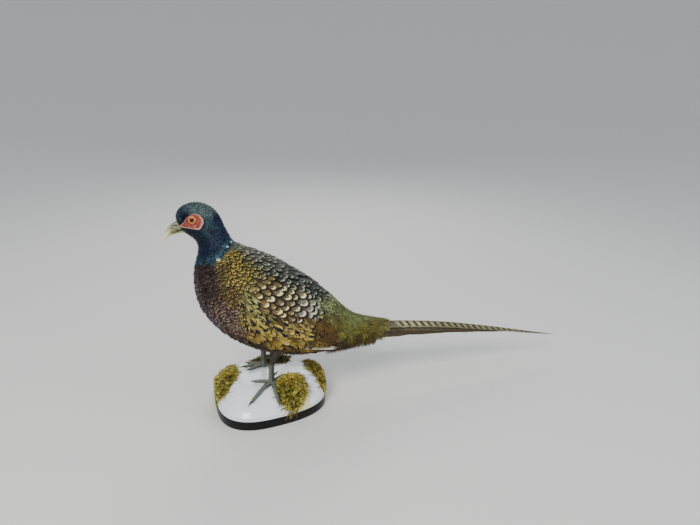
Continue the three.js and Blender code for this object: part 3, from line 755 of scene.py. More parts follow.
def makeSkin():
    section, angle = ringGrid(0, skin["end"], skin["rows"], skin["around"])
    grow = skin["underWing"] * wingRise(section, angle) - skinDepth(section)
    points = bodyPoint(section, angle, grow).reshape(-1, 3)
    faces = tubeFaces(skin["rows"], skin["around"])
    piece = makePiece("skin", points, faces, featherMaterial, "body_feathers")
    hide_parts("head", "neck", "trunk", "rump", "thigh_left", "thigh_right")
    found = readZones(plumageZones, section.ravel(), angle.ravel())
    # painted shade: the skin takes the plumage colours darkened, for the shade between the feathers over it
    colours = [found[key] * skin["darker"] for key in ("ground", "mark", "rim")]
    paintPlain(piece, len(points), colours, found["gloss"] * skin["duller"])


makeSkin()
print("skin done")


# eyes and the bare red skin of the face; the coat of the head leaves them free

eye = {
    "centre": (-113.2, 14.9, 327), "radius": 5.75, "gaze": (-0.22, 1.0, 0.04),
    "bulge": 0.35, "bulgeAngle": 0.62, "rings": 48, "around": 48,
    "lidOpening": 0.76, "lidOuter": 1.12, "lidLift": 0.55, "lidRings": 12,
}
# the outline of the face skin as x and z from the eye, in millimetres
faceSkin = {
    "outline": [(-17.5, -10.8), (-11.5, -3.2), (-6.2, 4.2), (0.6, 7.6), (8.2, 7.4), (14.2, 1.6),
                (14.6, -6.4), (9.4, -13.6), (2.4, -14.2), (-5.2, -12.4), (-12.2, -12.0)],
    "rings": 46, "around": 150, "edgeLift": 0.2, "edgeRough": 0.8, "edgeSunk": 1.4,
    "swell": 1.5, "fold": 0.3, "wart": 1.9, "wartHeight": 0.95,
}


def outlineReach(turn):
    # how far the face skin reaches from the eye in each direction, in millimetres
    closed = faceSkin["outline"] * 3
    count = len(faceSkin["outline"])
    share = (count + np.linspace(0, count, 600)) / (len(closed) - 1)
    line = throughPoints(closed, share)
    angle = np.arctan2(line[:, 1], line[:, 0])
    order = np.argsort(angle)
    return np.interp(turn, angle[order], np.hypot(*line.T)[order], period=2 * pi)


def onFace(section, angle):
    place = bodyPoint(section, angle) / mm
    x, z = place[:, 0] - eye["centre"][0], place[:, 2] - eye["centre"][2]
    return (np.hypot(x, z) < outlineReach(np.arctan2(z, x)) - 0.4) & (np.abs(place[:, 1]) > 6)


# small contour feathers, tract by tract; a tract takes in the roots in its range of "hair"

tracts = {
    "coatHead": {
        "slot": "head_feathers", "section": (0.35, 7.5), "degrees": (0, 180), "seed": 3, "hair": (-1, 2),
        "shape": (2, 4, 0.5, 0.1, 1.1, 0.1, 4), "look": (0.12, 0.16, 0.12, 0, 1.15, 0.3, 0.12, 0.05)},
    "coatNeck": {
        "slot": "neck_feathers", "section": (7.3, 10.6), "degrees": (0, 180), "seed": 5, "hair": (-1, 2),
        "shape": (4, 5, 0.55, 0.08, 1.1, 0.1, 6), "look": (0.12, 0.18, 0.1, 0, 2.2, 0.4, 0.1, 0.04)},
    "coatMantle": {
        "slot": "body_feathers", "section": (10.4, 16.6), "degrees": (0, 76), "seed": 7, "hair": (-1, 0.5),
        "shape": (4, 7, 0.6, 0.05, 1, 0.09, 8), "look": (0.14, 0.2, 0.12, 0, 3, 0.35, 0.1, 0.06)},
    "coatBreast": {
        "slot": "body_feathers", "section": (10.2, 14.3), "degrees": (76, 180), "seed": 9, "hair": (-1, 2),
        "shape": (4, 7, 0.6, 0.05, 1, 0.09, 10), "look": (0.12, 0.2, 0.16, 0, 3, 0.8, 0.14, 0.06)},
    "coatFlank": {
        "slot": "body_feathers", "section": (13.9, 17.2), "degrees": (74, 180), "seed": 11,
        "hair": (-1, 0.55), "spotted": 0.22,
        "shape": (6, 9, 0.58, 0.05, 1, 0.08, 12), "look": (0.14, 0.2, 0.22, 0, 3.2, 2, 0.16, 0.09)},
}


# a few feathers are marked one by one: section and degrees of their roots, and their marks
whiteFlecks = {
    "places": [(9.95, -92), (9.5, -53), (9.4, -24), (9.8, 88)], "reach": 3,
    "rim": "#dfe6e4", "mark": "#b9c4c4", "marking": (0.55, 0, 0.4),
}
flankSpots = {
    "places": [(12.95, 100), (13.3, 96), (13.9, 93), (14.4, 96), (14.6, 90), (14.0, 117), (14.3, 108),
               (14.9, 103)],
    "shift": 0.1, "rim": "#0a0d22", "marking": (0.95, 0, 0.85), "lift": 1.5,
}
# the middle of a wing as section and degrees, and its reach in each
coatOval, covertOval = (13.85, 62, 1.4, 29), (13.75, 62, 1.5, 31)


def inOval(section, degrees, oval):
    return ((section - oval[0]) / oval[2]) ** 2 + ((degrees - oval[1]) / oval[3]) ** 2 < 1


def underWing(roots):
    # the wing's own coverts take over inside its oval
    return inOval(roots["section"], np.degrees(np.abs(roots["angle"])), coatOval)


def awayFrom(roots, section, degrees):
    place = bodyPoint(section, radians(degrees))
    return np.linalg.norm(bodyPoint(roots["section"], roots["angle"]) - place, axis=-1)


def growTract(name, tract):
    roots = spreadRoots(tract)
    kept = (roots["hair"] > tract["hair"][0]) & (roots["hair"] <= tract["hair"][1])
    kept &= ~underWing(roots) & ~onFace(roots["section"], roots["angle"])
    roots = pickRoots(roots, kept)
    # the nearest feather to each white tip, if it is near enough
    for section, degrees in whiteFlecks["places"]:
        away = awayFrom(roots, section, degrees)
        near = away <= min(away.min(), whiteFlecks["reach"] * mm)
        roots["rim"][near], roots["mark"][near] = tint(whiteFlecks["rim"]), tint(whiteFlecks["mark"])
        roots["marking"][near] = whiteFlecks["marking"]
    # each spot on the left flank, and a little further back on the right
    if name == "coatFlank":
        for section, degrees in flankSpots["places"]:
            for side in sides.values():
                nearest = awayFrom(roots, section + flankSpots["shift"] * side, degrees * side).argmin()
                roots["rim"][nearest] = tint(flankSpots["rim"])
                roots["marking"][nearest] = flankSpots["marking"]
                roots["lift"][nearest] = flankSpots["lift"] * mm
    piece = growVanes(name, bodySurface, roots, tract["shape"], tract["slot"])
    print(name, len(roots["section"]), "feathers,", len(piece.data.polygons) * 2, "triangles")


for tractName, tractLook in tracts.items():
    growTract(tractName, tractLook)


# the loose, hair-like plumage of the rump and tail coverts: broad vanes below, strands above

rumpTract = {
    "section": (14.6, 19.45), "degrees": (0, 180), "seed": 21, "slot": "rump_feathers", "hairFrom": 0.5,
    "vanes": (3, 6, 0.45, 0.3, 1, 0.05, 22),
    "look": (0.15, 0.2, 0.12, 0.5, 3, 0.3, 0.1, 0.06), "stray": 0.16,
    "strands": {"seed": 24, "perTuft": 11, "width": 0.7, "fan": 0.2, "lift": 1.3,
                "sweep": 0.09, "longer": 0.9,
                "shades": (0.35, 1.8), "shape": (1, 5, 0.1, 0, 0.8, 0, 23)},
}


# the fringe hanging down beside the root of the tail
fringe = {
    "section": (17.8, 20.1), "degrees": (64, 116), "seed": 28, "slot": "rump_feathers",
    "look": (0.2, 0.2, 0.2, 1.2, 1.5, 1, 0.1, 0.06), "stray": 0.16,
    "strands": {"seed": 29, "perTuft": 12, "width": 0.75, "fan": 0.16, "lift": 8.5,
                "sweep": 0.08, "longer": 1.1,
                "shades": (0.3, 1.7), "shape": (1, 7, 0.1, 0, 0.8, 0, 30)},
}


# the coverts lying down on the root of the tail
tailRoot = {
    "section": (18.7, 20.2), "degrees": (0, 66), "seed": 33, "slot": "rump_feathers",
    "look": (0.2, 0.2, 0.15, 0.1, 2.5, 0, 0.1, 0.06), "stray": 0.16,
    "strands": {"seed": 34, "perTuft": 11, "width": 1.0, "fan": 0.14, "lift": -3.5,
                "sweep": 0.06, "longer": 0.5,
                "shades": (0.5, 1.5), "shape": (1, 6, 0.1, 0, 0.8, 0, 35)},
}


def growStrands(name, roots, look, slot):
    # loose strands fanning out from each root
    random = np.random.default_rng(look["seed"])
    count = len(roots["section"])
    tufts = {key: np.repeat(values, look["perTuft"], axis=0) for key, values in roots.items()}
    total = count * look["perTuft"]
    along, across = bodySurface.stretch(tufts["section"], tufts["angle"])
    tufts["section"] = tufts["section"] + random.normal(0, 1.6, total) * mm / along
    tufts["angle"] = tufts["angle"] + random.normal(0, 1.3, total) * mm / across
    tufts["width"] = look["width"] * mm * random.uniform(0.6, 1.5, total)
    tufts["length"] = tufts["length"] * random.uniform(0.55, 1.08, total) * look["longer"]
    tufts["turn"] = tufts["turn"] + random.normal(0, look["fan"], total)
    tufts["lift"] = look["lift"] * mm * random.uniform(-0.2, 1, total)
    tufts["sweep"] = look["sweep"] * random.normal(size=total)
    tufts["gloss"] = tufts["gloss"] * 0.5
    brighter = np.repeat(random.uniform(*look["shades"], count), look["perTuft"])[:, None]
    brighter = brighter * random.uniform(0.7, 1.3, (total, 1))
    for key in ("ground", "mark"):
        tufts[key] = np.clip(tufts[key] * brighter, 0, 1)
    tufts["marking"] = np.tile((2.0, 0.0, 0.0), (total, 1))
    for ending, part in (("Left", tufts["angle"] < 0), ("Right", tufts["angle"] >= 0)):
        piece = growVanes(name + ending, bodySurface, pickRoots(tufts, part), look["shape"], slot)
        print(name + ending, len(piece.data.polygons) * 2, "triangles")


def growRump():
    tract = rumpTract
    random = np.random.default_rng(tract["seed"])
    roots = spreadRoots(tract)
    chance = random.normal(0, 0.08, len(roots["section"]))
    roots = pickRoots(roots, (roots["hair"] + chance > tract["hairFrom"]) & ~underWing(roots))
    growVanes("coatRump", bodySurface, roots, tract["vanes"], tract["slot"])
    growStrands("strands", roots, tract["strands"], tract["slot"])


flankFluff = {
    "section": (13.7, 17.0), "degrees": (78, 150), "seed": 25, "slot": "body_feathers",
    "look": (0.15, 0.2, 0.2, 0, 2, 1.5, 0.1, 0.1),
    "strands": {"seed": 26, "perTuft": 8, "width": 0.7, "fan": 0.24, "lift": 1.6,
                "sweep": 0.14, "longer": 0.7,
                "shades": (0.2, 1.9), "shape": (1, 5, 0.1, 0, 0.8, 0, 27)},
}


def growFluff(name, tract):
    roots = spreadRoots(tract, 0.8)
    growStrands(name, pickRoots(roots, ~underWing(roots)), tract["strands"], tract["slot"])


growFluff("flankStrands", flankFluff)
growFluff("fringe", fringe)
growFluff("tailRoot", tailRoot)
growRump()


# the folded wings: rows of coverts with pale loops, long tertials behind them, and the
# tips of the flight feathers below

wingZones = {
    "front": ([(12.5, 70), (12.7, 84), (12.6, 58)],
        "#574520 #e4cc84 #1a120a", (0.6, 0.13, -0.26), (20, 13, 10.5), 0.08, 0),
    "middle": ([(13.3, 66), (13.3, 82), (13.9, 74), (13.9, 60)],
        "#50462b #ead9a0 #1a140b", (0.6, 0.12, -0.4), (25, 16, 13), 0.08, 0),
    "lower": ([(13.4, 89), (13.9, 87), (14.3, 84)],
        "#5e4722 #efd894 #1c1409", (0.62, 0.14, -0.24), (22, 14.5, 12), 0.08, 0),
    "rear": ([(14.4, 62), (14.5, 74), (14.9, 56), (14.3, 52)],
        "#77766a #cfc8b0 #17100b", (0.66, 0.075, -0.6), (30, 19, 15), 0.08, 0),
    "scapular": ([(13, 42), (13.6, 36), (14.3, 36), (12.6, 46)],
        "#1f231c #a9aa8e #0f110c", (0.62, 0.06, -0.5), (19, 12.5, 10), 0.12, 0),
}
wing = {
    "firstRow": 12.3, "lastRow": 15.0, "rows": 10, "topDegrees": 31, "bottomDegrees": 93,
    "rise": 0.22, "jitter": 0.12, "seed": 31,
    "shape": (8, 12, 0.6, 0.03, 0.9, 0.1, 32),
    "look": (0.07, 0.1, 0.07, 0, 3.2, 1.2, 0.07, 0.03),
    # the tertials: section, degrees, length and width in millimetres
    "tertials": [(14.0, 84, 52, 12), (14.2, 79, 56, 12), (14.4, 74, 56, 12), (14.6, 69, 52, 12),
                 (14.75, 64, 46, 12)],
    "tertialShape": (8, 20, 0.75, 0.05, 0.5, 0.06, 33),
    "tertialColours": ("#42321a", "#937d44", "#1c130a"),
}


def wingRoots(side):
    # staggered rows from the shoulder back, their places on an oval
    random = np.random.default_rng(wing["seed"] + side)
    sections, angles = [], []
    for row, section in enumerate(np.linspace(wing["firstRow"], wing["lastRow"], wing["rows"])):
        degrees = wing["topDegrees"] + (row % 2) * 3.5
        while degrees < wing["bottomDegrees"]:
            place = np.array([section]), np.array([radians(degrees)])
            pitch = readZones(wingZones, *place)["size"][0, 2] * mm
            alongStretch, acrossStretch = bodySurface.stretch(*place)
            if inOval(section, degrees, covertOval):
                sections.append(section + wing["jitter"] * random.normal() * pitch / alongStretch[0])
                angles.append(side * radians(degrees + random.normal() * 0.8))
            degrees += np.degrees(pitch / acrossStretch[0])
    return np.array(sections), np.array(angles)


def makeWing(sideName, side):
    section, angle = wingRoots(side)
    roots = rootsFrom(section, angle, wingZones, wing, wing["seed"] + 5)
    roots["turn"] = roots["turn"] - side * wing["rise"] * fade(np.degrees(np.abs(angle)), 35, 80)
    name = "wingCoverts" + sideName.capitalize()
    piece = growVanes(name, bodySurface, roots, wing["shape"], "wing_feathers")
    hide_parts("wing_" + sideName)
    print(name, len(section), "feathers")

    table = np.array(wing["tertials"], float)
    section, angle = table[:, 0], side * np.radians(table[:, 1])
    tertials = rootsFrom(section, angle, wingZones, wing, wing["seed"] + 9)
    tertials["length"], tertials["width"] = table[:, 2] * mm, table[:, 3] * mm
    tertials["turn"] = np.full(len(section), side * 0.4)
    tertials["depth"], tertials["lift"] = np.full(len(section), 2.6 * mm), np.full(len(section), 0.3 * mm)
    for key, code in zip(("ground", "mark", "rim"), wing["tertialColours"]):
        tertials[key] = np.tile(tint(code), (len(section), 1))
    tertials["marking"] = np.tile((0.84, 0.1, 0.0), (len(section), 1))
    ending = sideName.capitalize()
    growVanes("tertials" + ending, bodySurface, tertials, wing["tertialShape"], "wing_feathers")


for sideName, side in sides.items():
    makeWing(sideName, side)


# long feathers built barb by barb: a shaft with a row of barbs on each side that split
# here and there

def longVane(shaft, across, widths, look, seed):
    # shaft and across are rows of points and unit vectors in metres, widths the reach of
    # the barbs to each side of every row
    random = np.random.default_rng(seed)
    rows, columns = len(shaft), look["columns"]
    along = unit(np.gradient(shaft, axis=0))
    up = np.cross(along, across)
    points, faces, vanes = [], [], []
    length = lengthAlong(shaft)
    for sign, width in zip((-1, 1), widths):
        reach = width * (1 + look["ragged"] * random.normal(size=rows))
        waver = np.repeat(random.normal(size=rows // 9 + 1), 9)[:rows]
        slant = radians(look["slant"]) + look["slantVary"] * waver
        start = sum(len(part) for part in points)
        share = np.linspace(0, 1, columns + 1)[None, :, None]
        slant = slant[:, None, None]
        out = sign * across[:, None] * np.cos(slant) + along[:, None] * np.sin(slant)
        curl = up[:, None] * (-look["camber"] * share ** 2)
        span = reach[:, None, None] / np.cos(slant)
        points.append((shaft[:, None] + span * share * (out + curl)).reshape(-1, 3))
        quads = ringFaces(rows, columns + 1, start, closed=False).reshape(rows - 1, columns, 4)
        splits = random.uniform(size=rows - 1) < look["splits"]
        whole = np.ones((rows - 1, columns), bool)
        whole[splits, columns // 2:] = False
        quads = quads[whole]
        faces.append(quads if sign > 0 else quads[:, ::-1])
        spot = np.broadcast_to(sign * share[..., 0], (rows, columns + 1))
        distance = length[:, None] + reach[:, None] * np.tan(slant[..., 0]) * share[..., 0]
        chance = np.full((rows, columns + 1), random.uniform())
        vanes.append(np.stack([spot, distance, chance], -1).reshape(-1, 3))
    # the shaft itself, a thin tapering rod lying on the vane
    radius = np.linspace(look["shaft"][0], look["shaft"][1], rows)[:, None, None] * mm
    turn = turns(6)[None, :, None]
    rod = shaft[:, None] + radius * (across[:, None] * np.cos(turn) + up[:, None] * np.sin(turn))
    faces.append(ringFaces(rows, 6, sum(len(part) for part in points)))
    points.append(rod.reshape(-1, 3))
    rodVane = np.stack([np.zeros(rows), length, np.ones(rows)], -1)
    vanes.append(np.repeat(rodVane, 6, axis=0))
    return np.concatenate(points), np.concatenate(faces), np.concatenate(vanes)


def makeLongFeathers(name, feathers, look, material, slot):
    # several long feathers as one piece; each gives its shaft, across, widths and seed
    points, faces, vanes, start = [], [], [], 0
    for feather in feathers:
        p, f, v = longVane(*feather[:3], look, feather[3])
        points.append(p)
        faces.append(f + start)
        vanes.append(v)
        start += len(p)
    piece = makeQuads(name, np.concatenate(points), np.concatenate(faces), material, slot)
    paint(piece, "vane", np.concatenate(vanes))
    # each feather is a strip of its own when it is baked, its shaft a thin strip beside it
    strips = []
    for i, vane in enumerate(vanes):
        isShaft = vane[:, 2] == 1.0
        run = 0.01 + 0.98 * np.clip(vane[:, 1] / max(v[:, 1].max() for v in vanes), 0, 1)
        ringPlace = np.arange(len(vane)) % 6 / 6
        place = np.where(isShaft, 0.93 + 0.05 * ringPlace, 0.04 + 0.84 * (vane[:, 0] + 1) / 2)
        strips.append(np.stack([run, (i + place) / len(vanes)], -1))
    corners = np.concatenate(strips)[np.concatenate(faces).ravel()]
    layPatches(piece, corners)
    return piece


# the tail: five feathers a side in the solids, each drawn here as one or two long vanes

tail = {
    "start": 172, "tip": 585, "tilt": 0.36, "hang": 0.2, "step": 1.3, "rowPitch": 1.15,
    "ridge": [(172, 125.8), (180, 126.6), (235, 121.6), (285, 115.1), (333, 107.1), (390, 95.1), (442, 83.6),
              (510, 67.1), (585, 49.2)],
    # name: how far back it reaches, its width, offset from the middle, late taper, and the
    # share of the width where its shaft runs
    "feathers": {
        "central": (1.0, 18.5, -0.2, 2.2, 0.07), "second": (0.78, 18, 4, 3.5, 0.38),
        "third": (0.66, 16, 7.5, 4, 0.35),
        "fourth": (0.48, 15, 10.5, 5, 0.3), "outer": (0.26, 14, 13, 6, 0.3)},
    "look": {"columns": 5, "ragged": 0.035, "slant": 38, "slantVary": 0.03, "camber": 0.05,
             "splits": 0.025, "shaft": (0.85, 0.2)},
    "barPitch": 14.2, "barSlant": 0.2,
}


def tailLine(feather, order, side, lower):
    reach, wide, out, taper, shaftShare = feather
    reach = reach - 0.06 * lower
    length = (tail["tip"] - tail["start"]) * reach
    rows = int(length / tail["rowPitch"])
    x = tail["start"] + np.linspace(0, 1, rows) * length
    xs, zs = np.array(tail["ridge"]).T
    ridge = np.interp(x, xs, zs)
    width = wide * np.clip(1 - np.linspace(0, 1, rows) ** taper, 0.03, 1)
    inner = out * np.clip(1 - np.linspace(0, 1, rows) ** taper, 0.06, 1) + 0.3 + 1.2 * lower
    y = inner + width * shaftShare
    drop = order * tail["step"] + 0.55 * lower + 0.4
    shaft = np.stack([x, side * y, ridge - tail["tilt"] * y - drop], -1) * mm
    hang = tail["tilt"] + tail["hang"] * order
    across = np.tile((0.0, side * 1.0, -hang), (rows, 1))
    across = across / np.linalg.norm(across[0])
    return shaft, across, (width * shaftShare * mm, width * (1 - shaftShare) * mm)


def makeTailMaterial():
    material, tree, shader = newMaterial("tailVane")
    side, distance, _ = splitAttribute(tree, "vane")
    mottle = addNoise(tree, 520.0, 4.0)
    streak = addNoise(tree, 90.0, 2.0)
    out = calc("ABSOLUTE", side)
    greyedAndShaded, toTip, lean = splitAttribute(tree, "place")
    leaning = minus(distance, times(lean, tail["barSlant"]))
    shifted = scaled(streak, 2.6 * mm, leaning)
    phase = calc("FRACT", calc("DIVIDE", shifted, tail["barPitch"] * mm))
    bar = calc("ABSOLUTE", minus(phase, 0.5))
    dark = ramp(bar, 0.25, 0.19)
    halo = ramp(bar, 0.38, 0.22)
    near = ramp(out, 1.0, 0.72)
    mottled = ramp(mottle, 0.38, 0.62)
    pale = blend(mottled, "#d0ca8c", "#9c955b")
    olive = blend(mottled, "#8b8448", "#5c562c")
    # painted shade: the pale and the grey darken towards the tip of the tail, where the light falls off
    far = ramp(toTip, 0.14, 0.42)
    pale = blend(times(far, 0.8), pale, olive)
    grey = blend(mottled, "#4a442e", "#1e1a10")
    grey = blend(times(far, 0.75), grey, "#2c2615")
    # the lower and outer feathers and the root of the tail turn grey: partly their own colour, partly
    # painted shade under the feathers above them
    base = blend(greyedAndShaded, pale, grey)
    edge = blend(times(ramp(out, 0.3, 0.95), 0.7), base, "#544228")
    around = blend(greyedAndShaded, blend(far, "#cfc698", olive), grey)
    warm = blend(times(halo, 0.45), edge, around)
    strong = times(times(dark, near), scaled(greyedAndShaded, -0.8, 1.0))
    barred = blend(strong, warm, "#080605")
    quill = ramp(out, 0.06, 0.0)
    shafted = blend(times(quill, 0.7), barred, "#4c3d24")
    final = blend(times(ramp(toTip, 0.72, 0.9), 0.75), shafted, "#2b2216")
    barbs = calc("SINE", times(distance, 2 * pi / (0.9 * mm)))
    finishShader(shader, {"Base Color": final, "Roughness": 0.58, "Sheen Weight": 0.1}, barbs, 0.35, 0.12)
    return material


tailMaterial = makeTailMaterial()


def makeTail():
    for sideName, side in sides.items():
        for order, (feather, values) in enumerate(tail["feathers"].items()):
            seed = 40 + order * 2 + (side > 0)
            lines = [(*tailLine(values, order, side, 0), seed)]
            if order > 0:
                lines.append((*tailLine(values, order, side, 1), seed + 20))
            name = "tail" + feather.capitalize() + sideName.capitalize()
            piece = makeLongFeathers(name, lines, tail["look"], tailMaterial, "tail_feathers")
            # how grey and shaded, how near the tip of the tail, and how far out from the shaft
            count = len(piece.data.vertices)
            co, vane = np.zeros(count * 3), np.zeros(count * 3)
            piece.data.vertices.foreach_get("co", co)
            piece.data.attributes["vane"].data.foreach_get("vector", vane)
            co, vane = co.reshape(-1, 3), vane.reshape(-1, 3)
            toTip = (co[:, 0] / mm - tail["start"]) / (tail["tip"] - tail["start"])
            greyedAndShaded = np.clip(0.1 * order + 0.75 * (order > 0) + 0.85 * fade(-toTip, -0.155, -0.115), 0, 1)
            lean = np.abs(vane[:, 0]) * values[1] * 0.55 * mm
            paint(piece, "place", np.stack([greyedAndShaded, toTip, lean], -1))
            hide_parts(f"tail_{feather}_{sideName}")


makeTail()
print("tail done")


# the flight-feather tips that show below the flank

blade = {
    "root": (52, 48.2, 119.8), "tip": (107, 40.6, 107.0), "count": 4, "rows": 60,
    "step": (-2.5, 0.0, -0.95), "width": 3.4,
    "look": {"columns": 4, "ragged": 0.03, "slant": 30, "slantVary": 0.02, "camber": 0.04,
             "splits": 0.02, "shaft": (0.55, 0.2)},
}


def makeBladeMaterial():
    material, tree, shader = newMaterial("flightFeather")
    side, distance, _ = splitAttribute(tree, "vane")
    cloud = addNoise(tree, 300.0, 3.0)
    phase = calc("FRACT", calc("DIVIDE", distance, 6.5 * mm))
    bar = ramp(calc("ABSOLUTE", minus(phase, 0.5)), 0.32, 0.18)
    pale = blend(cloud, "#d8d3bf", "#b5ad92")
    brown = blend(bar, pale, "#5d4c36")
    inner = ramp(side, 0.15, 0.35)
    finishShader(shader, {"Base Color": blend(inner, pale, brown), "Roughness": 0.5})
    return material


bladeMaterial = makeBladeMaterial()


def makeBlades(sideName, side):
    feathers = []
    root, tip, step = (np.array(blade[key], float) for key in ("root", "tip", "step"))
    for i in range(blade["count"]):
        share = np.linspace(0, 1, blade["rows"])[:, None]
        line = root + (tip - root) * share + step * i + np.array([0, 0.25, 0]) * i
        line[:, 1] = side * line[:, 1]
        run = line[-1] - line[0]
        outward = np.cross(run, (0, 0, 1.0))
        across = np.cross(outward, run)
        across = np.tile(across / np.linalg.norm(across), (blade["rows"], 1))
        width = blade["width"] * mm * np.clip(1 - share[:, 0] ** 5, 0.05, 1) ** 0.5
        feathers.append((line * mm, across, (width * 0.55, width), 70 + i + (side > 0) * 10))
    name = "flightFeathers" + sideName.capitalize()
    piece = makeLongFeathers(name, feathers, blade["look"], bladeMaterial, "quill")
    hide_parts("primaries_" + sideName)


for sideName, side in sides.items():
    makeBlades(sideName, side)


# bill: the same kind of sections as the body, from its root to its tip

bill = {
    "upper": [(-124, 327, -118, 311, 7.8), (-134, 323, -128, 309.8, 7.2), (-142, 318, -137, 307, 5.7),
              (-149, 310.6, -144.5, 302.8, 3.9), (-153, 303, -149.6, 298.6, 2.1),
               (-154, 296.8, -152.8, 296.2, 0.7)],
    "lower": [(-117.5, 310.2, -120, 305, 6.6), (-128, 309.2, -129, 305.4, 6),
              (-137.2, 306.4, -137.4, 303.4, 4.6),
              (-144, 302.4, -143.6, 300.6, 2.8), (-146.6, 300.4, -146.3, 299.6, 1.2)],
    "rows": 90, "around": 64, "rim": 0.35, "nostril": (1.5, 66, 0.36, 9, 0.8),
    "operculum": (1.4, 46, 0.55, 18, 1.0),
}


def billPoint(sections, section, angle, grow=0.0):
    share = section / (len(sections) - 1)
    back = throughPoints([row[0:2] for row in sections], share)
    belly = throughPoints([row[2:4] for row in sections], share)
    width = throughPoints([(row[4], 0.0) for row in sections], share)[..., 0]
    rise = (back - belly) / 2
    halfHeight = np.maximum(np.linalg.norm(rise, axis=-1), 0.2)
    # slightly squared below, so that the cutting edges stand out
    c = np.cos(angle)
    side = (width + grow) * np.sign(np.sin(angle)) * np.abs(np.sin(angle)) ** 0.85
    middle = (back + belly) / 2 + rise * (c * (halfHeight + grow) / halfHeight)[..., None]
    return np.stack([middle[..., 0], side, middle[..., 1]], -1) * mm


def makeBillMaterial():
    material, tree, shader = newMaterial("horn")
    toTip, ridge, pit = splitAttribute(tree, "horn")
    cloud = addNoise(tree, 420.0, 5.0, 0.6)
    shifted = scaled(cloud, 0.22, toTip)
    base = blend(ramp(cloud, 0.35, 0.65), "#434a33", "#8f9268")
    pale = blend(cloud, "#cfc88f", "#ece5bd")
    colour = blend(ramp(shifted, 0.5, 0.9), base, pale)
    colour = blend(times(ridge, 0.3), colour, "#6a6650")
    # painted shade in the hollow of the nostril
    colour = blend(pit, colour, "#191510")
    values = {"Base Color": colour, "Roughness": 0.32, "Coat Weight": 0.25, "Coat Roughness": 0.2}
    finishShader(shader, values, cloud, 0.25, 0.2)
    return material


def makeBill():
    material = makeBillMaterial()
    for part in ("upper", "lower"):
        sections = bill[part]
        last = len(sections) - 1
        section, angle = ringGrid(0, last, bill["rows"], bill["around"])
        degrees = np.degrees(np.abs(angle))
        grow = np.zeros_like(section)
        pit = np.zeros_like(section)
        if part == "upper":
            atSection, atDegrees, wide, tall, depth = bill["nostril"]
            pit = np.exp(-(((section - atSection) / wide) ** 2 + ((degrees - atDegrees) / tall) ** 2) ** 2)
            coverS, coverD, coverWide, coverTall, rise = bill["operculum"]
            cover = np.exp(-((section - coverS) / coverWide) ** 2 - ((degrees - coverD) / coverTall) ** 2)
            # the cutting edge fades in at the root and out before the tip
            edge = np.exp(-((degrees - 112) / 10) ** 2) * fade(section, 0.2, 1)
            edge = edge * (1 - fade(section, 3.6, 4.8))
            grow = rise * cover - depth * pit + bill["rim"] * edge
        points = billPoint(sections, section, angle, grow).reshape(-1, 3)
        faces = tubeFaces(bill["rows"], bill["around"])
        piece = makePiece("bill" + part.capitalize(), points, faces, material, "bill")
        ridge = np.clip(1 - degrees / 35, 0, 1)
        paint(piece, "horn", np.stack([section / last, ridge, np.clip(pit * 1.2, 0, 1)], -1).reshape(-1, 3))
        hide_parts("bill_" + part)


makeBill()


def gazeFrame(side):
    gaze = Vector((eye["gaze"][0], side * eye["gaze"][1], eye["gaze"][2])).normalized()
    across = Vector((0, 0, 1)).cross(gaze).normalized()
    centre = np.array(eye["centre"]) * (1, side, 1) * mm
    return centre, np.array(gaze), np.array(across), np.array(gaze.cross(across))


def ballPoint(side, away, turn, lift=0.0):
    # on the eyeball: away radians from the gaze, turn round it
    centre, gaze, across, up = gazeFrame(side)
    radius = (eye["radius"] + lift) * mm
    away, turn, radius = np.broadcast_arrays(away, turn, radius)
    spread = across * np.cos(turn)[..., None] + up * np.sin(turn)[..., None]
    return centre + radius[..., None] * (gaze * np.cos(away)[..., None] + spread * np.sin(away)[..., None])


def makeEyeMaterial():
    material, tree, shader = newMaterial("glassEye")
    away, turn, _ = splitAttribute(tree, "gaze")
    spot = addNode(tree, "CombineXYZ", X=times(turn, 1.6), Y=times(away, 0.6))
    streaks = addNode(tree, "TexNoise", Vector=spot, Scale=9.0, Detail=4.0)
    streaks.noise_dimensions = "2D"
    iris = blend(streaks.outputs[0], "#5e1c06", "#c25c14")
    inner = blend(ramp(away, 0.44, 0.36), iris, "#3a1306")
    outer = blend(ramp(away, 0.66, 0.74), inner, "#24100a")
    final = blend(ramp(away, 0.42, 0.39), outer, "#000000")
    finishShader(shader, {"Base Color": final, "Roughness": 0.06, "Specular IOR Level": 0.12,
                          "Coat Weight": 0.25, "Coat Roughness": 0.02})
    return material


def makeEye(sideName, side, material):
    away, turn = ringGrid(0.02, pi - 0.02, eye["rings"], eye["around"], 0)
    bulge = eye["bulge"] * np.exp(-(away / eye["bulgeAngle"]) ** 4)
    points = ballPoint(side, away, turn, bulge).reshape(-1, 3)
    faces = tubeFaces(eye["rings"], eye["around"])
    piece = makePiece("eye" + sideName.capitalize(), points, faces, material, "eye")
    paint(piece, "gaze", np.stack([away, turn, turn], -1).reshape(-1, 3))
    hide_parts("eye_" + sideName)


headShell = bodyPoint(*np.meshgrid(np.linspace(0, 8, 161), np.linspace(-pi, pi, 241), indexing="ij"))


def headSide(x, z, side, depth):
    # the side of the head at x and z in metres, from the nearest points of its surface
    columns = headShell.shape[1]
    half = headShell[:, :columns // 2 + 1] if side < 0 else headShell[:, columns // 2:]
    outer = half[..., 1] * side > 0.25 * np.max(np.abs(half[..., 1]))
    known = half[outer]
    tree = kdtree.KDTree(len(known))
    for i, point in enumerate(known):
        tree.insert((point[0], 0, point[2]), i)
    tree.balance()
    found = []
    for px, pz in zip(x, z):
        near = tree.find_n((px, 0, pz), 6)
        weights = np.array([1 / (distance + 0.1 * mm) ** 2 for _, _, distance in near])
        ys = np.array([known[i][1] for _, i, _ in near])
        found.append((weights @ ys) / weights.sum())
    return np.array(found) + side * depth


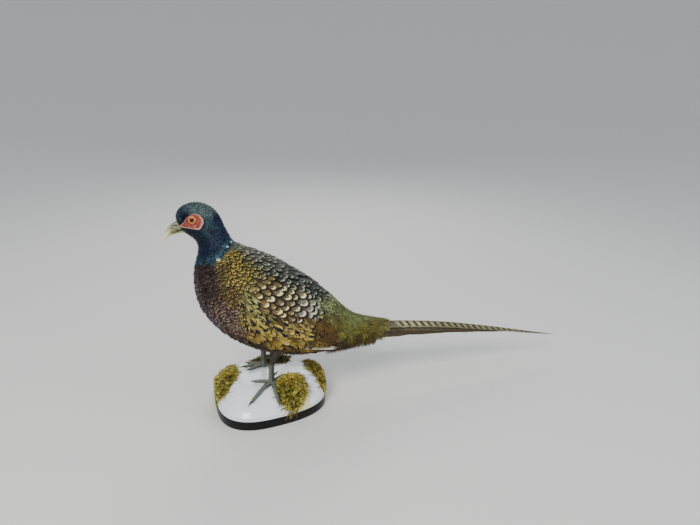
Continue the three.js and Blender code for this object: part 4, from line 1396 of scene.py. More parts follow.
def makeFaceMaterial():
    material, tree, shader = newMaterial("faceSkin")
    out, wart, lid = splitAttribute(tree, "face")
    cloud = addNoise(tree, 520.0, 4.0)
    blotch = addNoise(tree, 240.0, 2.0)
    top = blend(ramp(blotch, 0.4, 0.62), "#8e2a1b", "#b5643f")
    # painted shade: darker in the hollows between the warts, lighter on their tops
    red = blend(ramp(wart, 0.1, 0.8), "#63180f", top)
    edge = scaled(cloud, 0.3, minus(out, 0.15))
    skinTone = blend(ramp(edge, 0.66, 0.98), red, "#c99790")
    skinTone = blend(times(lid, 0.85), skinTone, "#dba060")
    finishShader(shader, {"Base Color": skinTone, "Roughness": 0.5, "Subsurface Weight": 0.1,
                          "Subsurface Scale": 0.8 * mm}, cloud, 0.5, 0.25)
    return material


def wartField(points, size):
    # rounded warts packed side by side, 0 between them and 1 on top
    return np.array([1 - min(noise.voronoi(Vector(point) / size)[0][0] * 1.5, 1) ** 2 for point in points])


def makeFace(sideName, side, material):
    # lids first, lying on the eyeball, then the warty skin out to its edge
    look = faceSkin
    turn = turns(look["around"], -pi)
    centre, _, across, _ = gazeFrame(side)
    lidShare = np.linspace(0, 1, eye["lidRings"])
    away = eye["lidOpening"] + (eye["lidOuter"] - eye["lidOpening"]) * lidShare
    lidLift = eye["lidLift"] * np.sin(np.clip(lidShare * 1.25, 0, 1) * pi * 0.72) - 0.1 * (lidShare == 0)
    # round the ball so that the direction matches x and z on the side of the head
    ballTurn = np.arctan2(np.sin(turn), -side * np.cos(turn) * (1 if across[0] * side < 0 else -1))
    lids = ballPoint(side, away[:, None], ballTurn[None, :], lidLift[:, None])
    flat = lids[-1] - centre
    x0, z0 = flat[:, 0] / mm, flat[:, 2] / mm
    direction = np.arctan2(z0, x0)
    uneven = [noise.noise(Vector((2.6 * cos(t), 2.6 * sin(t), side))) for t in direction]
    reach = outlineReach(direction) + look["edgeRough"] * np.array(uneven)
    share = np.linspace(0, 1, look["rings"] + 1)[1:]
    edge = np.stack([reach * np.cos(direction), reach * np.sin(direction)], -1)
    start = np.stack([x0, z0], -1)
    flatPlace = start[None] + (edge - start)[None] * share[:, None, None]
    x, z = centre[0] + flatPlace[..., 0] * mm, centre[2] + flatPlace[..., 1] * mm
    base = headSide(x.ravel(), z.ravel(), side, 0.0).reshape(x.shape)
    probe = np.stack([x, np.zeros_like(x), z], -1).reshape(-1, 3) / mm
    warts = wartField(probe, look["wart"]).reshape(x.shape)
    swell = look["edgeLift"] + look["swell"] * (1 - share ** 4)
    folds = look["fold"] * np.sin(share * 16) * (1 - share)
    rise = (swell + folds)[:, None] + look["wartHeight"] * warts * np.clip(share * 6, 0, 1)[:, None] * (
        1 - 0.5 * share[:, None])
    y = base + side * rise * mm
    # the innermost rings come in from the lid
    inward = fade(share, 0.0, 0.3)[:, None]
    y = (y * inward + lids[-1][None, :, 1] * (1 - inward)
         + side * 0.25 * mm * warts * (1 - inward) * share[:, None])
    skirt = np.stack([x, y, z], -1)
    lastRing = skirt[-1:].copy()
    lastRing[..., 1] -= side * look["edgeSunk"] * mm
    rings = np.concatenate([lids, skirt, lastRing])
    faces = ringFaces(len(rings), look["around"])
    piece = makePiece("wattle" + sideName.capitalize(), rings.reshape(-1, 3), faces, material, "wattle")
    outShare = np.concatenate([np.zeros(len(lids)), share, [1.0]])
    # the pale rim is broad behind and below, narrow above and in front
    rimBias = 0.12 * np.cos(direction - radians(-38)) - 0.04
    lidPaint = np.concatenate([1 - fade(lidShare, 0.75, 1.0) * 0.6, np.zeros(len(share) + 1)])
    wartPaint = np.concatenate([np.full((len(lids), look["around"]), 0.5), warts, warts[-1:]])
    values = np.stack([outShare[:, None] * (1 + rimBias[None, :]), wartPaint,
                       np.broadcast_to(lidPaint[:, None], wartPaint.shape)], -1)
    paint(piece, "face", values.reshape(-1, 3))
    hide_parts("wattle_" + sideName)


eyeMaterial, faceMaterial = makeEyeMaterial(), makeFaceMaterial()
for sideName, side in sides.items():
    makeEye(sideName, side, eyeMaterial)
    makeFace(sideName, side, faceMaterial)
print("head done")


# the mound: contour lines as height and reach to the left, right, front and back

mound = {
    "lines": [(14.8, 90, 91, 73, 78), (21, 90, 92, 74, 79), (28, 86, 90, 69, 78), (36, 78, 86, 60, 75),
              (44, 68, 80, 50, 71), (50, 59, 74, 41, 66), (52.4, 50, 64, 32, 59), (53.2, 26, 34, 14, 32)],
    "corner": (2.6, 3.4), "taper": (0.15, 0.22),  # in front of the middle and behind it
    "rows": 110, "around": 300, "lumps": ((26, 0.9), (9, 0.35), (3.2, 0.12)),  # size and height
    "boardHeight": 14.5, "boardRim": 0.6,
    "glueReach": 13.0, "glueBlots": [(44, -55, 16), (34, -64, 10)],
}
footPlace = {"x": -5, "spread": 31}
mossPatches = {
    "left": (-72, 20, 31, 15, 8, 1.25), "front": (24, -43, 26, 22, 8, -1.8),
    "right": (80, 4, 33, 10.5, 7, 1.7), "back": (12, 50, 28, 9, 6, -0.12),
}


def moundLine(line):
    # height and reaches of the contour between two of the lines, smooth between them
    place = np.asarray(line, float)
    rows = np.array(mound["lines"], float)
    return np.stack([np.interp(place, np.arange(len(rows)), rows[:, k]) for k in range(5)], -1)


def moundReach(line, x, y):
    _, left, right, front, back = np.moveaxis(moundLine(line), -1, 0)
    ahead = y < 0
    corner, taper = (np.where(ahead, *mound[key]) for key in ("corner", "taper"))
    acrossX = np.abs(x) / np.where(x < 0, left, right)
    acrossY = np.abs(y) / (np.where(ahead, front, back) * (1 - taper * x / right))
    return acrossX ** corner + acrossY ** corner


def moundHeight(x, y):
    # in millimetres, found by halving between the lines
    x, y = np.asarray(x, float), np.asarray(y, float)
    low, high = np.zeros_like(x), np.full_like(x, len(mound["lines"]) - 1.0)
    for _ in range(18):
        middle = (low + high) / 2
        inside = moundReach(middle, x, y) < 1
        low, high = np.where(inside, middle, low), np.where(inside, high, middle)
    return moundLine(low)[..., 0]


def moundNormal(x, y):
    step = 1.5
    slopeX = (moundHeight(x + step, y) - moundHeight(x - step, y)) / (2 * step)
    slopeY = (moundHeight(x, y + step) - moundHeight(x, y - step)) / (2 * step)
    return unit(np.stack([-slopeX, -slopeY, np.ones_like(slopeX)], -1))


def onMound(x, y, lift=0.0):
    x, y = np.asarray(x, float), np.asarray(y, float)
    point = np.stack([x, y, moundHeight(x, y)], -1)
    return point + moundNormal(x, y) * np.asarray(lift)[..., None]


def mossShare(x, y, patch):
    # 0 in the middle of a moss patch, 1 on its rim
    px, py, long, wide, _, turn = patch
    along = (x - px) * cos(turn) + (y - py) * sin(turn)
    across = (y - py) * cos(turn) - (x - px) * sin(turn)
    return np.hypot(along / long, across / wide)


def makePlasterMaterial():
    material, tree, shader = newMaterial("paintedPlaster")
    glue, darkening, _ = splitAttribute(tree, "glueAndDarkening")
    cloud = addNoise(tree, 30.0, 6.0, 0.62)
    fine = addNoise(tree, 650.0, 4.0)
    white = blend(cloud, "#f3f6fa", "#dfe7f0")
    specks = ramp(fine, 0.69, 0.76)
    white = blend(times(specks, 0.35), white, "#8d8a7e")
    edges = addNoise(tree, 130.0, 3.0)
    glueShape = ramp(scaled(edges, 1.5, glue), 1.25, 1.7)
    yellow = blend(ramp(edges, 0.35, 0.6), "#c9a63c", "#f4e694")
    stained = blend(times(glueShape, 0.8), white, yellow)
    # darker grey-green along the lower rim, round the feet and at the edges of the moss
    darkeningShape = ramp(scaled(fine, 0.8, darkening), 0.85, 1.3)
    final = blend(times(darkeningShape, 0.7), stained, "#4f5446")
    finishShader(shader, {"Base Color": final, "Roughness": scaled(cloud, 0.22, 0.16),
                          "Coat Weight": 0.35, "Coat Roughness": 0.12}, fine, 0.25, 0.5)
    return material


def moundOutline(angle, left, right, front, back, grow=0.0):
    ahead = np.sin(angle) < 0
    corner, taper = (np.where(ahead, *mound[key]) for key in ("corner", "taper"))
    c, s = np.cos(angle), np.sin(angle)
    x = (np.where(c < 0, left, right) + grow) * np.sign(c) * np.abs(c) ** (2 / corner)
    y = (np.where(ahead, front, back) + grow) * np.sign(s) * np.abs(s) ** (2 / corner)
    return x, y * (1 - taper * x / right)


def makeMound():
    lastLine = len(mound["lines"]) - 1
    share, angle = ringGrid(0, 1, mound["rows"], mound["around"], 0)
    line = lastLine * share
    height, *reaches = np.moveaxis(moundLine(line), -1, 0)
    x, y = moundOutline(angle, *reaches)
    points = np.stack([x, y, height], -1).reshape(-1, 3)
    middle = np.array([[4.0, 4.0, mound["lines"][-1][0]]])
    outward = unit(np.concatenate([points - (0, 0, 30), middle]))
    points = np.concatenate([points, middle])
    lumps = np.array([sum(height * (noise.noise(Vector(p) / size) - 0.5) for size, height in mound["lumps"])
                      for p in points])
    edge = np.clip(np.append(line.ravel(), lastLine) / 0.35, 0, 1)
    points = points + outward * (lumps * edge)[:, None]
    faces = ringFaces(mound["rows"], mound["around"]).tolist()
    top = (mound["rows"] - 1) * mound["around"]
    hub = len(points) - 1
    faces += [[top + i, top + (i + 1) % mound["around"], hub] for i in range(mound["around"])]
    faces.append(list(range(mound["around"] - 1, -1, -1)))
    piece = makePiece("mound", points * mm, faces, makePlasterMaterial(), "white_plaster")
    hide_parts("base_mound")
    px, py = points[:, 0], points[:, 1]
    # glue runs round each patch of moss and round the feet, and the plaster is darker along its lower rim,
    # round the feet and at the edges of the moss
    near = np.min([mossShare(px, py, patch) * min(patch[2], patch[3]) - min(patch[2], patch[3])
                   for patch in mossPatches.values()], axis=0)
    glue = 1 - fade(near, 0, mound["glueReach"])
    feet = np.min([np.hypot(px - footPlace["x"], py - side * footPlace["spread"])
                   for side in sides.values()], axis=0)
    glue = np.maximum(glue * 0.85, 0.5 * (1 - fade(feet, 5, 13)))
    for blotX, blotY, wide in mound["glueBlots"]:
        glue = np.maximum(glue, 1.25 * (1 - fade(np.hypot(px - blotX, py - blotY), 0.3 * wide, wide)))
    darkening = np.maximum(1 - fade(np.append(line.ravel(), lastLine), 0.0, 0.5), 0.75 * (1 - fade(feet, 4, 11)))
    darkening = np.maximum(darkening * 0.55, 0.62 * (1 - fade(near, -4, 4)))
    paint(piece, "glueAndDarkening", np.stack([glue, darkening, darkening], -1))


def makeBoard():
    # the black board is the solid's own outline with a rounded edge
    angle = turns(mound["around"])
    top = mound["boardHeight"]
    profile = [(0.0, -0.7), (0.3, -0.15), (1.0, 0.0), (top - 1.0, 0.0), (top - 0.3, -0.15), (top, -0.7)]
    rings = []
    for height, inset in profile:
        x, y = moundOutline(angle, *mound["lines"][0][1:], mound["boardRim"] + inset)
        rings.append(np.stack([x, y, np.full_like(x, height)], -1))
    points = np.concatenate(rings) * mm
    faces = ringFaces(len(rings), mound["around"]).tolist()
    faces.append(list(range(mound["around"] - 1, -1, -1)))
    faces.append(list(range(len(points) - mound["around"], len(points))))
    material, tree, shader = newMaterial("blackPaint")
    cloud = addNoise(tree, 60.0, 6.0, 0.65)
    scratch = addNoise(tree, 700.0, 5.0)
    wear = ramp(plus(cloud, scratch), 1.16, 1.3)
    paintColour = blend(cloud, "#040405", "#0b0b0b")
    worn = blend(times(wear, 0.3), paintColour, "#3a342c")
    finishShader(shader, {"Base Color": worn, "Roughness": scaled(cloud, 0.3, 0.2),
                          "Specular IOR Level": 0.25}, scratch, 0.2, 0.3)
    piece = makePiece("board", points, faces, material, "black_board")
    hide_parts("base_board")


makeMound()
makeBoard()
print("base done")


# legs: scaly shanks and toes, with claws and spurs

leg = {
    "ankleTop": 60, "cuffBottom": 84, "shankRadius": 4.7, "ankleRadius": 5.7, "spurHeight": 68,
    "toeArch": 1.2, "toeLift": 0.62, "taper": 0.35, "gap": 0.3, "bends": (0, 0.3, 0.55, 0.8, 1),
    # name: tip of the left foot's toe from the foot, tip of the right foot's, radius, claw
    "toes": {
        "inner": ((-33, 13), (-33, -12), 2.9, 8), "middle": ((-44, -29), (-41, 4), 3.2, 9),
        "outer": ((4, -36), (-31, 18), 2.9, 8), "hind": ((25, 18), (20, -8), 2.3, 7)},
    "scutePitch": 2.3, "scuteHeight": 0.32, "shankPitch": 3.1, "shankHeight": 0.36, "clawArch": 1.7,
    "around": 40, "clawAround": 20, "pad": (3.4, 3.6, 7.2),  # the pad's middle, half height and radius
    # the spur as back, inward and up from the shank
    "spur": [(0, 0, 0), (7, 2.4, 0.2), (12.6, 4.8, 3.8)], "spurRadius": 2.7,
}


def tubeRings(line, radius, around, up, detail=None, flat=1.0):
    # rings round a line of points in millimetres; detail(along, angle) adds to the radius,
    # angle 0 being on top
    along = unit(np.gradient(line, axis=0))
    across = unit(np.cross(np.tile(up, (len(line), 1)), along))
    top = np.cross(along, across)
    length = lengthAlong(line)
    angle = np.linspace(0, 2 * pi, around, endpoint=False)
    size = np.asarray(radius)[:, None] * np.ones(around)
    grow = 0 if detail is None else detail(length[:, None], angle[None, :])
    size = size + grow
    return (line[:, None] + size[..., None] * (top[:, None] * np.cos(angle)[None, :, None] * flat
                                               + across[:, None] * np.sin(angle)[None, :, None]))


def scutes(pitch, height, topHalf):
    # overlapping plates across the top of a toe or shank, small round scales elsewhere
    def detail(along, angle):
        turned = np.abs((angle + pi) % (2 * pi) - pi)
        plate = (along / pitch) % 1
        big = height * (0.35 + 0.65 * plate) * fade(plate, 0, 0.14)
        row = np.floor(along / (pitch * 0.55))
        small = 0.55 * height * np.abs(np.sin(pi * along / (pitch * 0.55))) ** 0.6 * np.abs(
            np.sin(angle * 8 + row * pi / 2)) ** 0.6
        share = fade(turned, topHalf + 0.25, topHalf - 0.05)
        return big * share + small * (1 - share)
    return detail


def shankScutes(along, angle):
    # two rows of staggered plates down the front of the shank
    look = leg
    turned = (angle + pi) % (2 * pi) - pi
    plate = (along / look["shankPitch"] + 0.5 * (turned > 0)) % 1
    front = np.abs(turned)
    seam = fade(front, 0.0, 0.12) * fade(plate, 0, 0.12) * fade(1 - plate, 0, 0.06)
    big = look["shankHeight"] * (0.5 + 0.5 * plate) * seam
    small = scutes(look["shankPitch"] * 0.62, look["shankHeight"] * 0.8, -1.0)(along, angle)
    share = fade(front, 1.5, 1.25)
    return big * share + small * (1 - share)


def toeCurve(name, side, count):
    leftTip, rightTip, radius, _ = leg["toes"][name]
    dx, dy = leftTip if side < 0 else rightTip
    share = np.array(leg["bends"])
    lift = radius * (1 - leg["toeLift"] * share) + leg["gap"] + leg["toeArch"] * np.sin(share * pi)
    x, y = footPlace["x"] + dx * share, side * footPlace["spread"] + dy * share
    bends = onMound(x, y, lift)
    return throughPoints(bends, np.linspace(0, 1, count))


def makeScaleMaterial():
    material, tree, shader = newMaterial("legScales")
    height = readAttribute(tree, "scute")["Fac"]
    cloud = addNoise(tree, 380.0, 5.0)
    plate = blend(ramp(cloud, 0.35, 0.65), "#3f4840", "#6f7664")
    colour = blend(ramp(height, 0.05, 0.6), "#151916", plate)
    finishShader(shader, {"Base Color": colour, "Roughness": 0.48}, cloud, 0.35, 0.2)
    return material


def makeClawMaterial():
    material, tree, shader = newMaterial("clawHorn")
    toPoint = readAttribute(tree, "scute")["Fac"]
    cloud = addNoise(tree, 600.0, 4.0)
    dark = blend(cloud, "#1c1a16", "#35312a")
    colour = blend(times(toPoint, 0.35), dark, "#5c5547")
    finishShader(shader, {"Base Color": colour, "Roughness": 0.34}, cloud, 0.3, 0.1)
    return material


def makeLeg(sideName, side, scaleMaterial, clawMaterial):
    look = leg
    points, faces, heights = [], [], []
    clawPoints, clawFaces, clawShares = [], [], []
    around, clawAround = look["around"], look["clawAround"]

    def addTube(line, radius, detail, up, flat=1.0):
        rings = tubeRings(line, radius, around, up, detail, flat)
        start = sum(len(part) for part in points)
        length = lengthAlong(line)
        angle = turns(around)
        grow = np.broadcast_to(detail(length[:, None], angle[None, :]), rings.shape[:2])
        points.append(rings.reshape(-1, 3))
        faces.extend(tubeFaces(len(line), around, start))
        heights.append((grow / max(grow.max(), 1e-6)).ravel())

    def addClaw(line, radius, flat=1.0):
        rings = tubeRings(line, radius, clawAround, (0.0, 0.0, 1.0), None, flat)
        clawFaces.extend(tubeFaces(len(line), clawAround, sum(len(part) for part in clawPoints)))
        clawPoints.append(rings.reshape(-1, 3))
        clawShares.append(np.repeat(np.linspace(0, 1, len(line)), clawAround))

    x, y = footPlace["x"], side * footPlace["spread"]
    ground = float(moundHeight(float(x), float(y)))
    z = np.linspace(ground + 0.8, look["cuffBottom"] + 5, 130)
    shank = np.stack([np.full_like(z, x), np.full_like(z, y), z], -1)
    ankleTop, cuffBottom = look["ankleTop"], look["cuffBottom"]
    waist = 0.5 * np.sin(np.clip((z - ankleTop) / (cuffBottom - ankleTop), 0, 1) * pi)
    radius = np.interp(z, [ground, ankleTop], [look["ankleRadius"] + 0.6, look["shankRadius"]])
    addTube(shank, radius - 0.6 * waist, shankScutes, (-1.0, 0.0, 0.0))
    for name, (_, _, thick, claw) in look["toes"].items():
        line = toeCurve(name, side, 160)
        length = lengthAlong(line)
        clawFrom = 1 - claw / length[-1]
        cut = int(np.searchsorted(length / length[-1], clawFrom))
        share = length[:cut] / length[cut]
        joints = 0.22 * np.cos(share * 3 * 2 * pi) * np.sin(share * pi)
        toeRadius = (thick + 0.55) * (1 - look["taper"] * share) + joints
        toeRadius = toeRadius * np.where(share > 0.97, 0.86, 1.0)
        plates = scutes(look["scutePitch"], look["scuteHeight"], 1.0)
        addTube(line[:cut], toeRadius, plates, (0.0, 0.0, 1.0), 0.92)

        # the claw arches up a little before it comes down to its point
        clawShare = np.linspace(0, 1, 26)
        clawLine = throughPoints(line[cut - 3:], clawShare)
        clawLine[:, 2] += look["clawArch"] * np.sin(clawShare * pi) ** 1.2 * (1 - 0.4 * clawShare)
        addClaw(clawLine, np.maximum(thick * 0.52 * (1 - clawShare ** 1.3), 0.22), 1.15)

    # the pad where the toes meet, pressed on to the mound
    rise = np.linspace(0.06, pi - 0.06, 30)
    middle, halfHeight, radius = look["pad"]
    upright = ground + middle - halfHeight * np.cos(rise)
    pad = np.stack([np.full_like(rise, x), np.full_like(rise, y), upright], -1)
    scales = scutes(look["scutePitch"], look["scuteHeight"], -1.0)
    addTube(pad, radius * np.sin(rise), scales, (-1.0, 0.0, 0.0))

    # the spur stands out from the back of the shank
    bends = [(x + back, y - side * inward, look["spurHeight"] + up) for back, inward, up in look["spur"]]
    share = np.linspace(0, 1, 24)
    addClaw(throughPoints(bends, share), np.maximum(look["spurRadius"] * (1 - share ** 1.4), 0.3))

    ending = sideName.capitalize()
    piece = makePiece("leg" + ending, np.concatenate(points) * mm, faces, scaleMaterial, "leg_scales")
    paint(piece, "scute", np.concatenate(heights))
    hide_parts("foot_" + sideName, "shank_" + sideName)
    claws = makePiece("claws" + ending, np.concatenate(clawPoints) * mm, clawFaces, clawMaterial, "claw")
    paint(claws, "scute", np.concatenate(clawShares))
    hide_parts("spur_" + sideName, *(f"claw_{sideName}_{name}" for name in look["toes"]))


scaleMaterial, clawMaterial = makeScaleMaterial(), makeClawMaterial()
for sideName, side in sides.items():
    makeLeg(sideName, side, scaleMaterial, clawMaterial)
print("legs done")


# thighs: short dark feathers on the cuffs that come down out of the belly

thigh = {
    # back from the foot, up from the cuff's lower end, and radius
    "path": [(0, 5, 4.4), (2, 9, 5.4), (6, 17, 8.4), (12, 29, 13), (18, 46, 15.5)], "depth": 1.6,
    "rows": 17, "around": 19, "seed": 81,
    "shape": (4, 6, 0.5, 0.12, 1, 0.08, 82),
    "colours": ["#2f2a20 #4c4230 #1c1813", "#3c3526 #5a4c36 #221c15", "#28251e #413a2c #171410"],
    "shadedSkinColours": ("#231f18", "#2c271e", "#1a1712"), "feather": (9.0, 4.2),
}


def makeThigh(sideName, side):
    # section 0 is up inside the belly, 1 the lower end of the cuff
    def pointAt(section, angle):
        share = 1 - section
        path = throughPoints(thigh["path"], share)
        radius = path[..., 2]
        x = footPlace["x"] + path[..., 0] + radius * np.cos(angle)
        y = side * footPlace["spread"] + radius * np.sin(angle) * side
        return np.stack([x, y, leg["cuffBottom"] + path[..., 1]], -1) * mm

    surface = Surface(pointAt, 0, 1, 40, 61)
    if side < 0:
        surface.normalGrid = -surface.normalGrid
    random = np.random.default_rng(thigh["seed"] + side)
    row, column = np.meshgrid(np.arange(thigh["rows"]), np.arange(thigh["around"]), indexing="ij")
    section = (row / (thigh["rows"] - 0.4)).ravel() + random.normal(0, 0.01, row.size)
    angle = ((column + 0.5 * (row % 2)) * 2 * pi / thigh["around"]).ravel() - pi
    count = len(section)
    size = 0.62 + 0.38 * (1 - section)
    coats = np.array([[tint(code) for code in codes.split()] for codes in thigh["colours"]])
    picked = coats[random.integers(0, len(coats), count)]
    roots = {
        "section": section, "angle": angle, "length": thigh["feather"][0] * mm * size,
        "width": thigh["feather"][1] * mm * size, "turn": random.normal(0, 0.12, count),
        "depth": np.full(count, thigh["depth"] * mm), "lift": 0.5 * mm * random.uniform(-0.4, 1, count),
        "roll": 0.1 * random.normal(size=count), "sweep": 0.06 * random.normal(size=count),
        "ground": picked[:, 0], "mark": picked[:, 1], "rim": picked[:, 2], "gloss": np.zeros(count),
        "marking": np.tile((0.9, 0.0, 0.0), (count, 1)),
    }
    growVanes("thigh" + sideName.capitalize(), surface, roots, thigh["shape"], "body_feathers")
    # the flesh under them, painted darker than the feathers as painted shade beneath them
    section, angle = ringGrid(0, 1, 30, 40)
    points = surface.point(section, angle, -1.2 * thigh["depth"] * mm).reshape(-1, 3)
    faces = tubeFaces(30, 40)
    flesh = makePiece("thighSkin" + sideName.capitalize(), points, faces, featherMaterial, "body_feathers")
    paintPlain(flesh, len(points), [tint(code) for code in thigh["shadedSkinColours"]], np.zeros(len(points)))


for sideName, side in sides.items():
    makeThigh(sideName, side)
print("thighs done")


# moss: a lumpy pad with curling leafy fronds growing out of it

moss = {
    "fronds": {"left": 520, "front": 640, "right": 440, "back": 320}, "seed": 91,
    "stations": 10, "length": (8, 17), "stem": 0.4, "leaf": (3.3, 1.4), "curl": 2.6,
    "hanging": {"front": (18, -0.05, 26), "left": (6, 1.6, 13), "right": (6, -1.6, 12), "back": (0, 0, 12)},
    # the share of dark fronds: dead ones, and on the back patch mostly painted shadow of the bird
    "boardClear": 4.0, "deadAndShadowShare": {"left": 0.0, "front": 0.05, "right": 0.15, "back": 0.75},
}


def makeMossMaterial():
    material, tree, shader = newMaterial("driedMoss")
    hue, tip, shade = splitAttribute(tree, "vane")
    cloud = addNoise(tree, 420.0, 4.0)
    patchy = addNoise(tree, 60.0, 2.0)
    clump = addNoise(tree, 200.0, 1.5)
    dark = blend(hue, "#1f1f05", "#3a2c08")
    gold = blend(hue, "#a4a626", "#cfa728")
    pale = blend(hue, "#eeea7c", "#fff08c")
    # painted shade low on each frond and painted highlight on its tips: dark at the foot, then gold, then
    # pale
    colour = blend(ramp(tip, 0.15, 0.55), dark, gold)
    colour = blend(ramp(tip, 0.5, 0.9), colour, pale)
    green = ramp(patchy, 0.5, 0.68)
    colour = blend(times(green, 0.5), colour, "#5c6a18")
    colour = blend(ramp(cloud, 0.45, 0.3), colour, "#2a2408")
    # painted shade in the gaps between clumps of fronds; the shade value also darkens dead fronds, the
    # painted shadow on the back patch and the pad
    gap = ramp(clump, 0.5, 0.4)
    colour = blend(calc("MAXIMUM", shade, times(gap, 0.8)), colour, "#14170a")
    finishShader(shader, {"Base Color": colour, "Roughness": 0.72}, cloud, 0.5, 0.5)
    return material


def mossPoint(patch, out, angle):
    px, py, long, wide, thick, turn = patch
    out = out * (1 + 0.1 * np.sin(2 * angle + 2.27) + 0.06 * np.sin(5 * angle + px))
    along, across = long * out * np.cos(angle), wide * out * np.sin(angle)
    x = px + along * cos(turn) - across * sin(turn)
    y = py + along * sin(turn) + across * cos(turn)
    lift = 0.8 + (thick - 0.8) * np.clip(1 - out ** 2, 0, 1) - 1.0
    return x, y, lift


def layMossPatches(piece, faces, roots, patch, count, stations, pad):
    # fronds are small patches round their roots as seen from above, the pad a sheet beside them
    reach = 1.3 * max(patch[2], patch[3])
    size = 0.6 / count ** 0.5

    def fromAbove(points):
        return np.clip(0.5 + (points[:, :2] - patch[:2]) / (2 * reach), 0.02, 0.98)

    centre = fromAbove(roots) * (0.7, 0.94) + (0.01, 0.03)
    share = np.linspace(-0.5, 0.5, stations)
    stemLocal = np.stack([np.repeat(share, 3), np.tile((-0.5, -0.42, -0.34), stations)], -1)
    leafShape = np.array([(0, 0), (0.03, 0.2), (0.06, 0.42), (-0.03, 0.2)])
    leafLocal = (np.stack([share, np.zeros(stations)], -1)[:, None, None]
                 + leafShape * np.array([(1, -1), (1, 1)])[:, None]).reshape(-1, 2)
    stems = centre[:, None] + stemLocal[None] * size
    leaves = centre[:, None] + leafLocal[None] * size
    sheet = fromAbove(pad) * (0.26, 0.9) + (0.73, 0.05)
    corners = np.concatenate([stems.reshape(-1, 2), leaves.reshape(-1, 2), sheet])[faces.ravel()]
    layPatches(piece, corners)


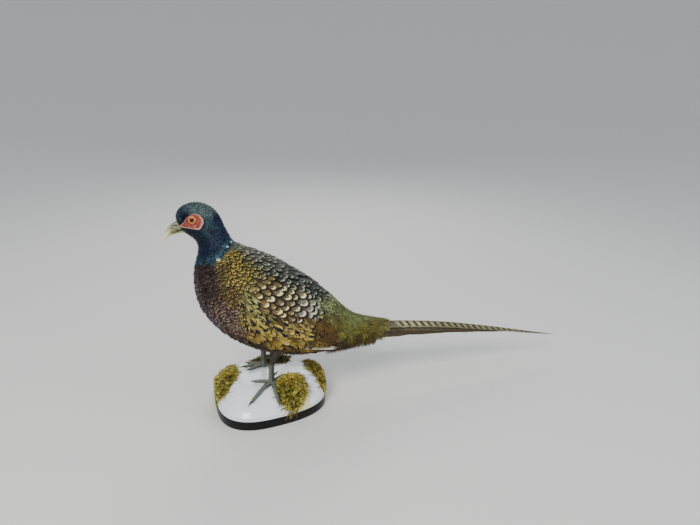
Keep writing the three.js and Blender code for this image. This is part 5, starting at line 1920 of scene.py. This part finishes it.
def makeMoss(name, patch, material):
    random = np.random.default_rng(moss["seed"] + len(name))
    count, stations = moss["fronds"][name], moss["stations"]
    out = np.sqrt(random.uniform(0, 1, count)) * 0.97
    angle = random.uniform(-pi, pi, count)
    x, y, lift = mossPoint(patch, out, angle)
    hangCount, hangAngle, hangLength = moss["hanging"][name]
    length = random.uniform(*moss["length"], count)
    away = np.arctan2(y - patch[1], x - patch[0])
    heading = away + random.normal(0, 1.3, count) * (1.1 - 0.5 * out)
    pitch = random.uniform(0.1, 0.95, count) * (1.05 - 0.75 * out)
    curl = random.normal(0, moss["curl"], count)
    if hangCount:
        # a few long ones trail down over the edge
        hangAngles = random.normal(hangAngle, 0.35, hangCount)
        px, py, lowLift = mossPoint(patch, np.full(hangCount, 0.9), hangAngles)
        x[:hangCount], y[:hangCount], lift[:hangCount] = px, py, lowLift
        length[:hangCount] = random.uniform(0.6, 1, hangCount) * hangLength
        heading[:hangCount] = np.arctan2(py - patch[1], px - patch[0]) + random.normal(0, 0.3, hangCount)
        pitch[:hangCount], curl[:hangCount] = 0.15, random.normal(0, 0.6, hangCount)
    lines = np.zeros((count, stations, 3))
    lines[:, 0] = onMound(x, y, np.maximum(lift, 0.3))
    for i in range(1, stations):
        share = i / (stations - 1)
        turn = heading + curl * share
        climb = pitch * (1 - 2.1 * share)
        step = (length / (stations - 1))[:, None]
        move = np.stack([np.cos(turn) * np.cos(climb), np.sin(turn) * np.cos(climb), np.sin(climb)], -1)
        lines[:, i] = lines[:, i - 1] + step * move
        # fronds rest on the mound, and stay above the floor beyond it
        spotX, spotY = lines[:, i, 0], lines[:, i, 1]
        beyond = moundReach(np.zeros(count), spotX, spotY)
        pull = np.where(beyond > 1.0, beyond ** -0.3, 1.0)
        lines[:, i, 0] *= pull
        lines[:, i, 1] *= pull
        rest = moundHeight(lines[:, i, 0], lines[:, i, 1]) + 0.5
        near = moundReach(np.zeros(count), lines[:, i, 0], lines[:, i, 1])
        fallen = lines[:, i - 1, 2] - 0.85 * step[:, 0]
        lines[:, i, 2] = np.where(near < 0.97, np.maximum(lines[:, i, 2], rest), fallen)
    lines[:, :, 2] = np.maximum(lines[:, :, 2], moss["boardClear"])

    # stems with three sides, and a leaf to each side at every station
    along = unit(np.gradient(lines, axis=1))
    sideways = unit(np.cross(along, (0, 0, 1.0)) + 1e-6)
    up = np.cross(sideways, along)
    taper = (1 - 0.6 * np.linspace(0, 1, stations))[None, :, None, None]
    turn = turns(3)[None, None, :, None]
    ring = sideways[:, :, None] * np.cos(turn) + up[:, :, None] * np.sin(turn)
    stem = lines[:, :, None] + moss["stem"] * taper * ring
    stemFaces = ringFaces(stations, 3)[None] + np.arange(count)[:, None, None] * stations * 3
    hue = random.uniform(0, 1, count)
    share = np.linspace(0, 1, stations)
    stemTip = np.broadcast_to(share[None, :, None], (count, stations, 3))
    leafLong, leafWide = moss["leaf"]
    leaves, leafTips = [], []
    for sign in (-1, 1):
        tilt = random.normal(0.2, 0.35, (count, stations, 1))
        size = random.uniform(0.7, 1.25, (count, stations, 1)) * (1.1 - 0.55 * share[None, :, None])
        spread = along * 0.75 + sideways * sign * 0.8 + up * tilt
        foot = lines
        middle = lines + spread * leafLong * 0.5 * size
        tip = lines + (spread + up * 0.1) * leafLong * size
        cross = np.cross(spread, up) * leafWide * 0.5 * size
        leaves.append(np.stack([foot, middle + cross, tip, middle - cross], 2))
        edgeTip = share * 0.5 + 0.35
        leafTips.append(np.stack([share * 0.4, edgeTip, share * 0.3 + 0.7, edgeTip], -1))
    leafPoints = np.stack(leaves, 2).reshape(-1, 3)
    leafShare = np.broadcast_to(np.stack(leafTips, 1)[None], (count, stations, 2, 4)).ravel()
    leafFaces = np.arange(len(leafPoints)).reshape(-1, 4)

    # the pad underneath
    rings, around = 14, 60
    px, py, padLift = mossPoint(patch, *ringGrid(0.02, 1, rings, around, 0))
    rough = [noise.noise(Vector((a, b, 0)) / 3.1) for a, b in zip(px.ravel(), py.ravel())]
    rough = np.array(rough).reshape(px.shape)
    pad = onMound(px, py, np.maximum(padLift - 0.6 + 1.3 * rough, 0.25)).reshape(-1, 3)
    padFaces = ringFaces(rings, around)
    parts = [stem.reshape(-1, 3), leafPoints, pad]
    starts = np.cumsum([0] + [len(part) for part in parts])
    faces = np.concatenate([stemFaces.reshape(-1, 4), leafFaces + starts[1], padFaces[:, ::-1] + starts[2]])
    piece = makeQuads("moss" + name.capitalize(), np.concatenate(parts) * mm, faces, material, "moss")
    # the pad is painted dark, as painted shade under the fronds
    tips = np.concatenate([stemTip.ravel() * 0.6, leafShare, np.zeros(len(pad))])
    # some fronds are dead and dark; on the back patch, under the bird, most of them are darkened as painted
    # shadow
    deadAndShadow = np.clip(random.normal(moss["deadAndShadowShare"][name], 0.3, count), 0, 0.9)
    hues, shades = (
        np.concatenate([np.repeat(values, stations * 3), np.repeat(values, stations * 8),
                        np.full(len(pad), onPad)])
        for values, onPad in ((hue, 0.5), (deadAndShadow, 0.6)))
    paint(piece, "vane", np.stack([hues, tips, shades], -1))
    layMossPatches(piece, faces, lines[:, 0], patch, count, stations, pad)
    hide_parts("moss_" + name)
    print("moss", name, len(faces) * 2, "triangles")


mossMaterial = makeMossMaterial()
for patchName, patch in mossPatches.items():
    makeMoss(patchName, patch, mossMaterial)


# camera, light and floor last, when everything stands in its place

placeCamera()
lightScene()
layFloor()
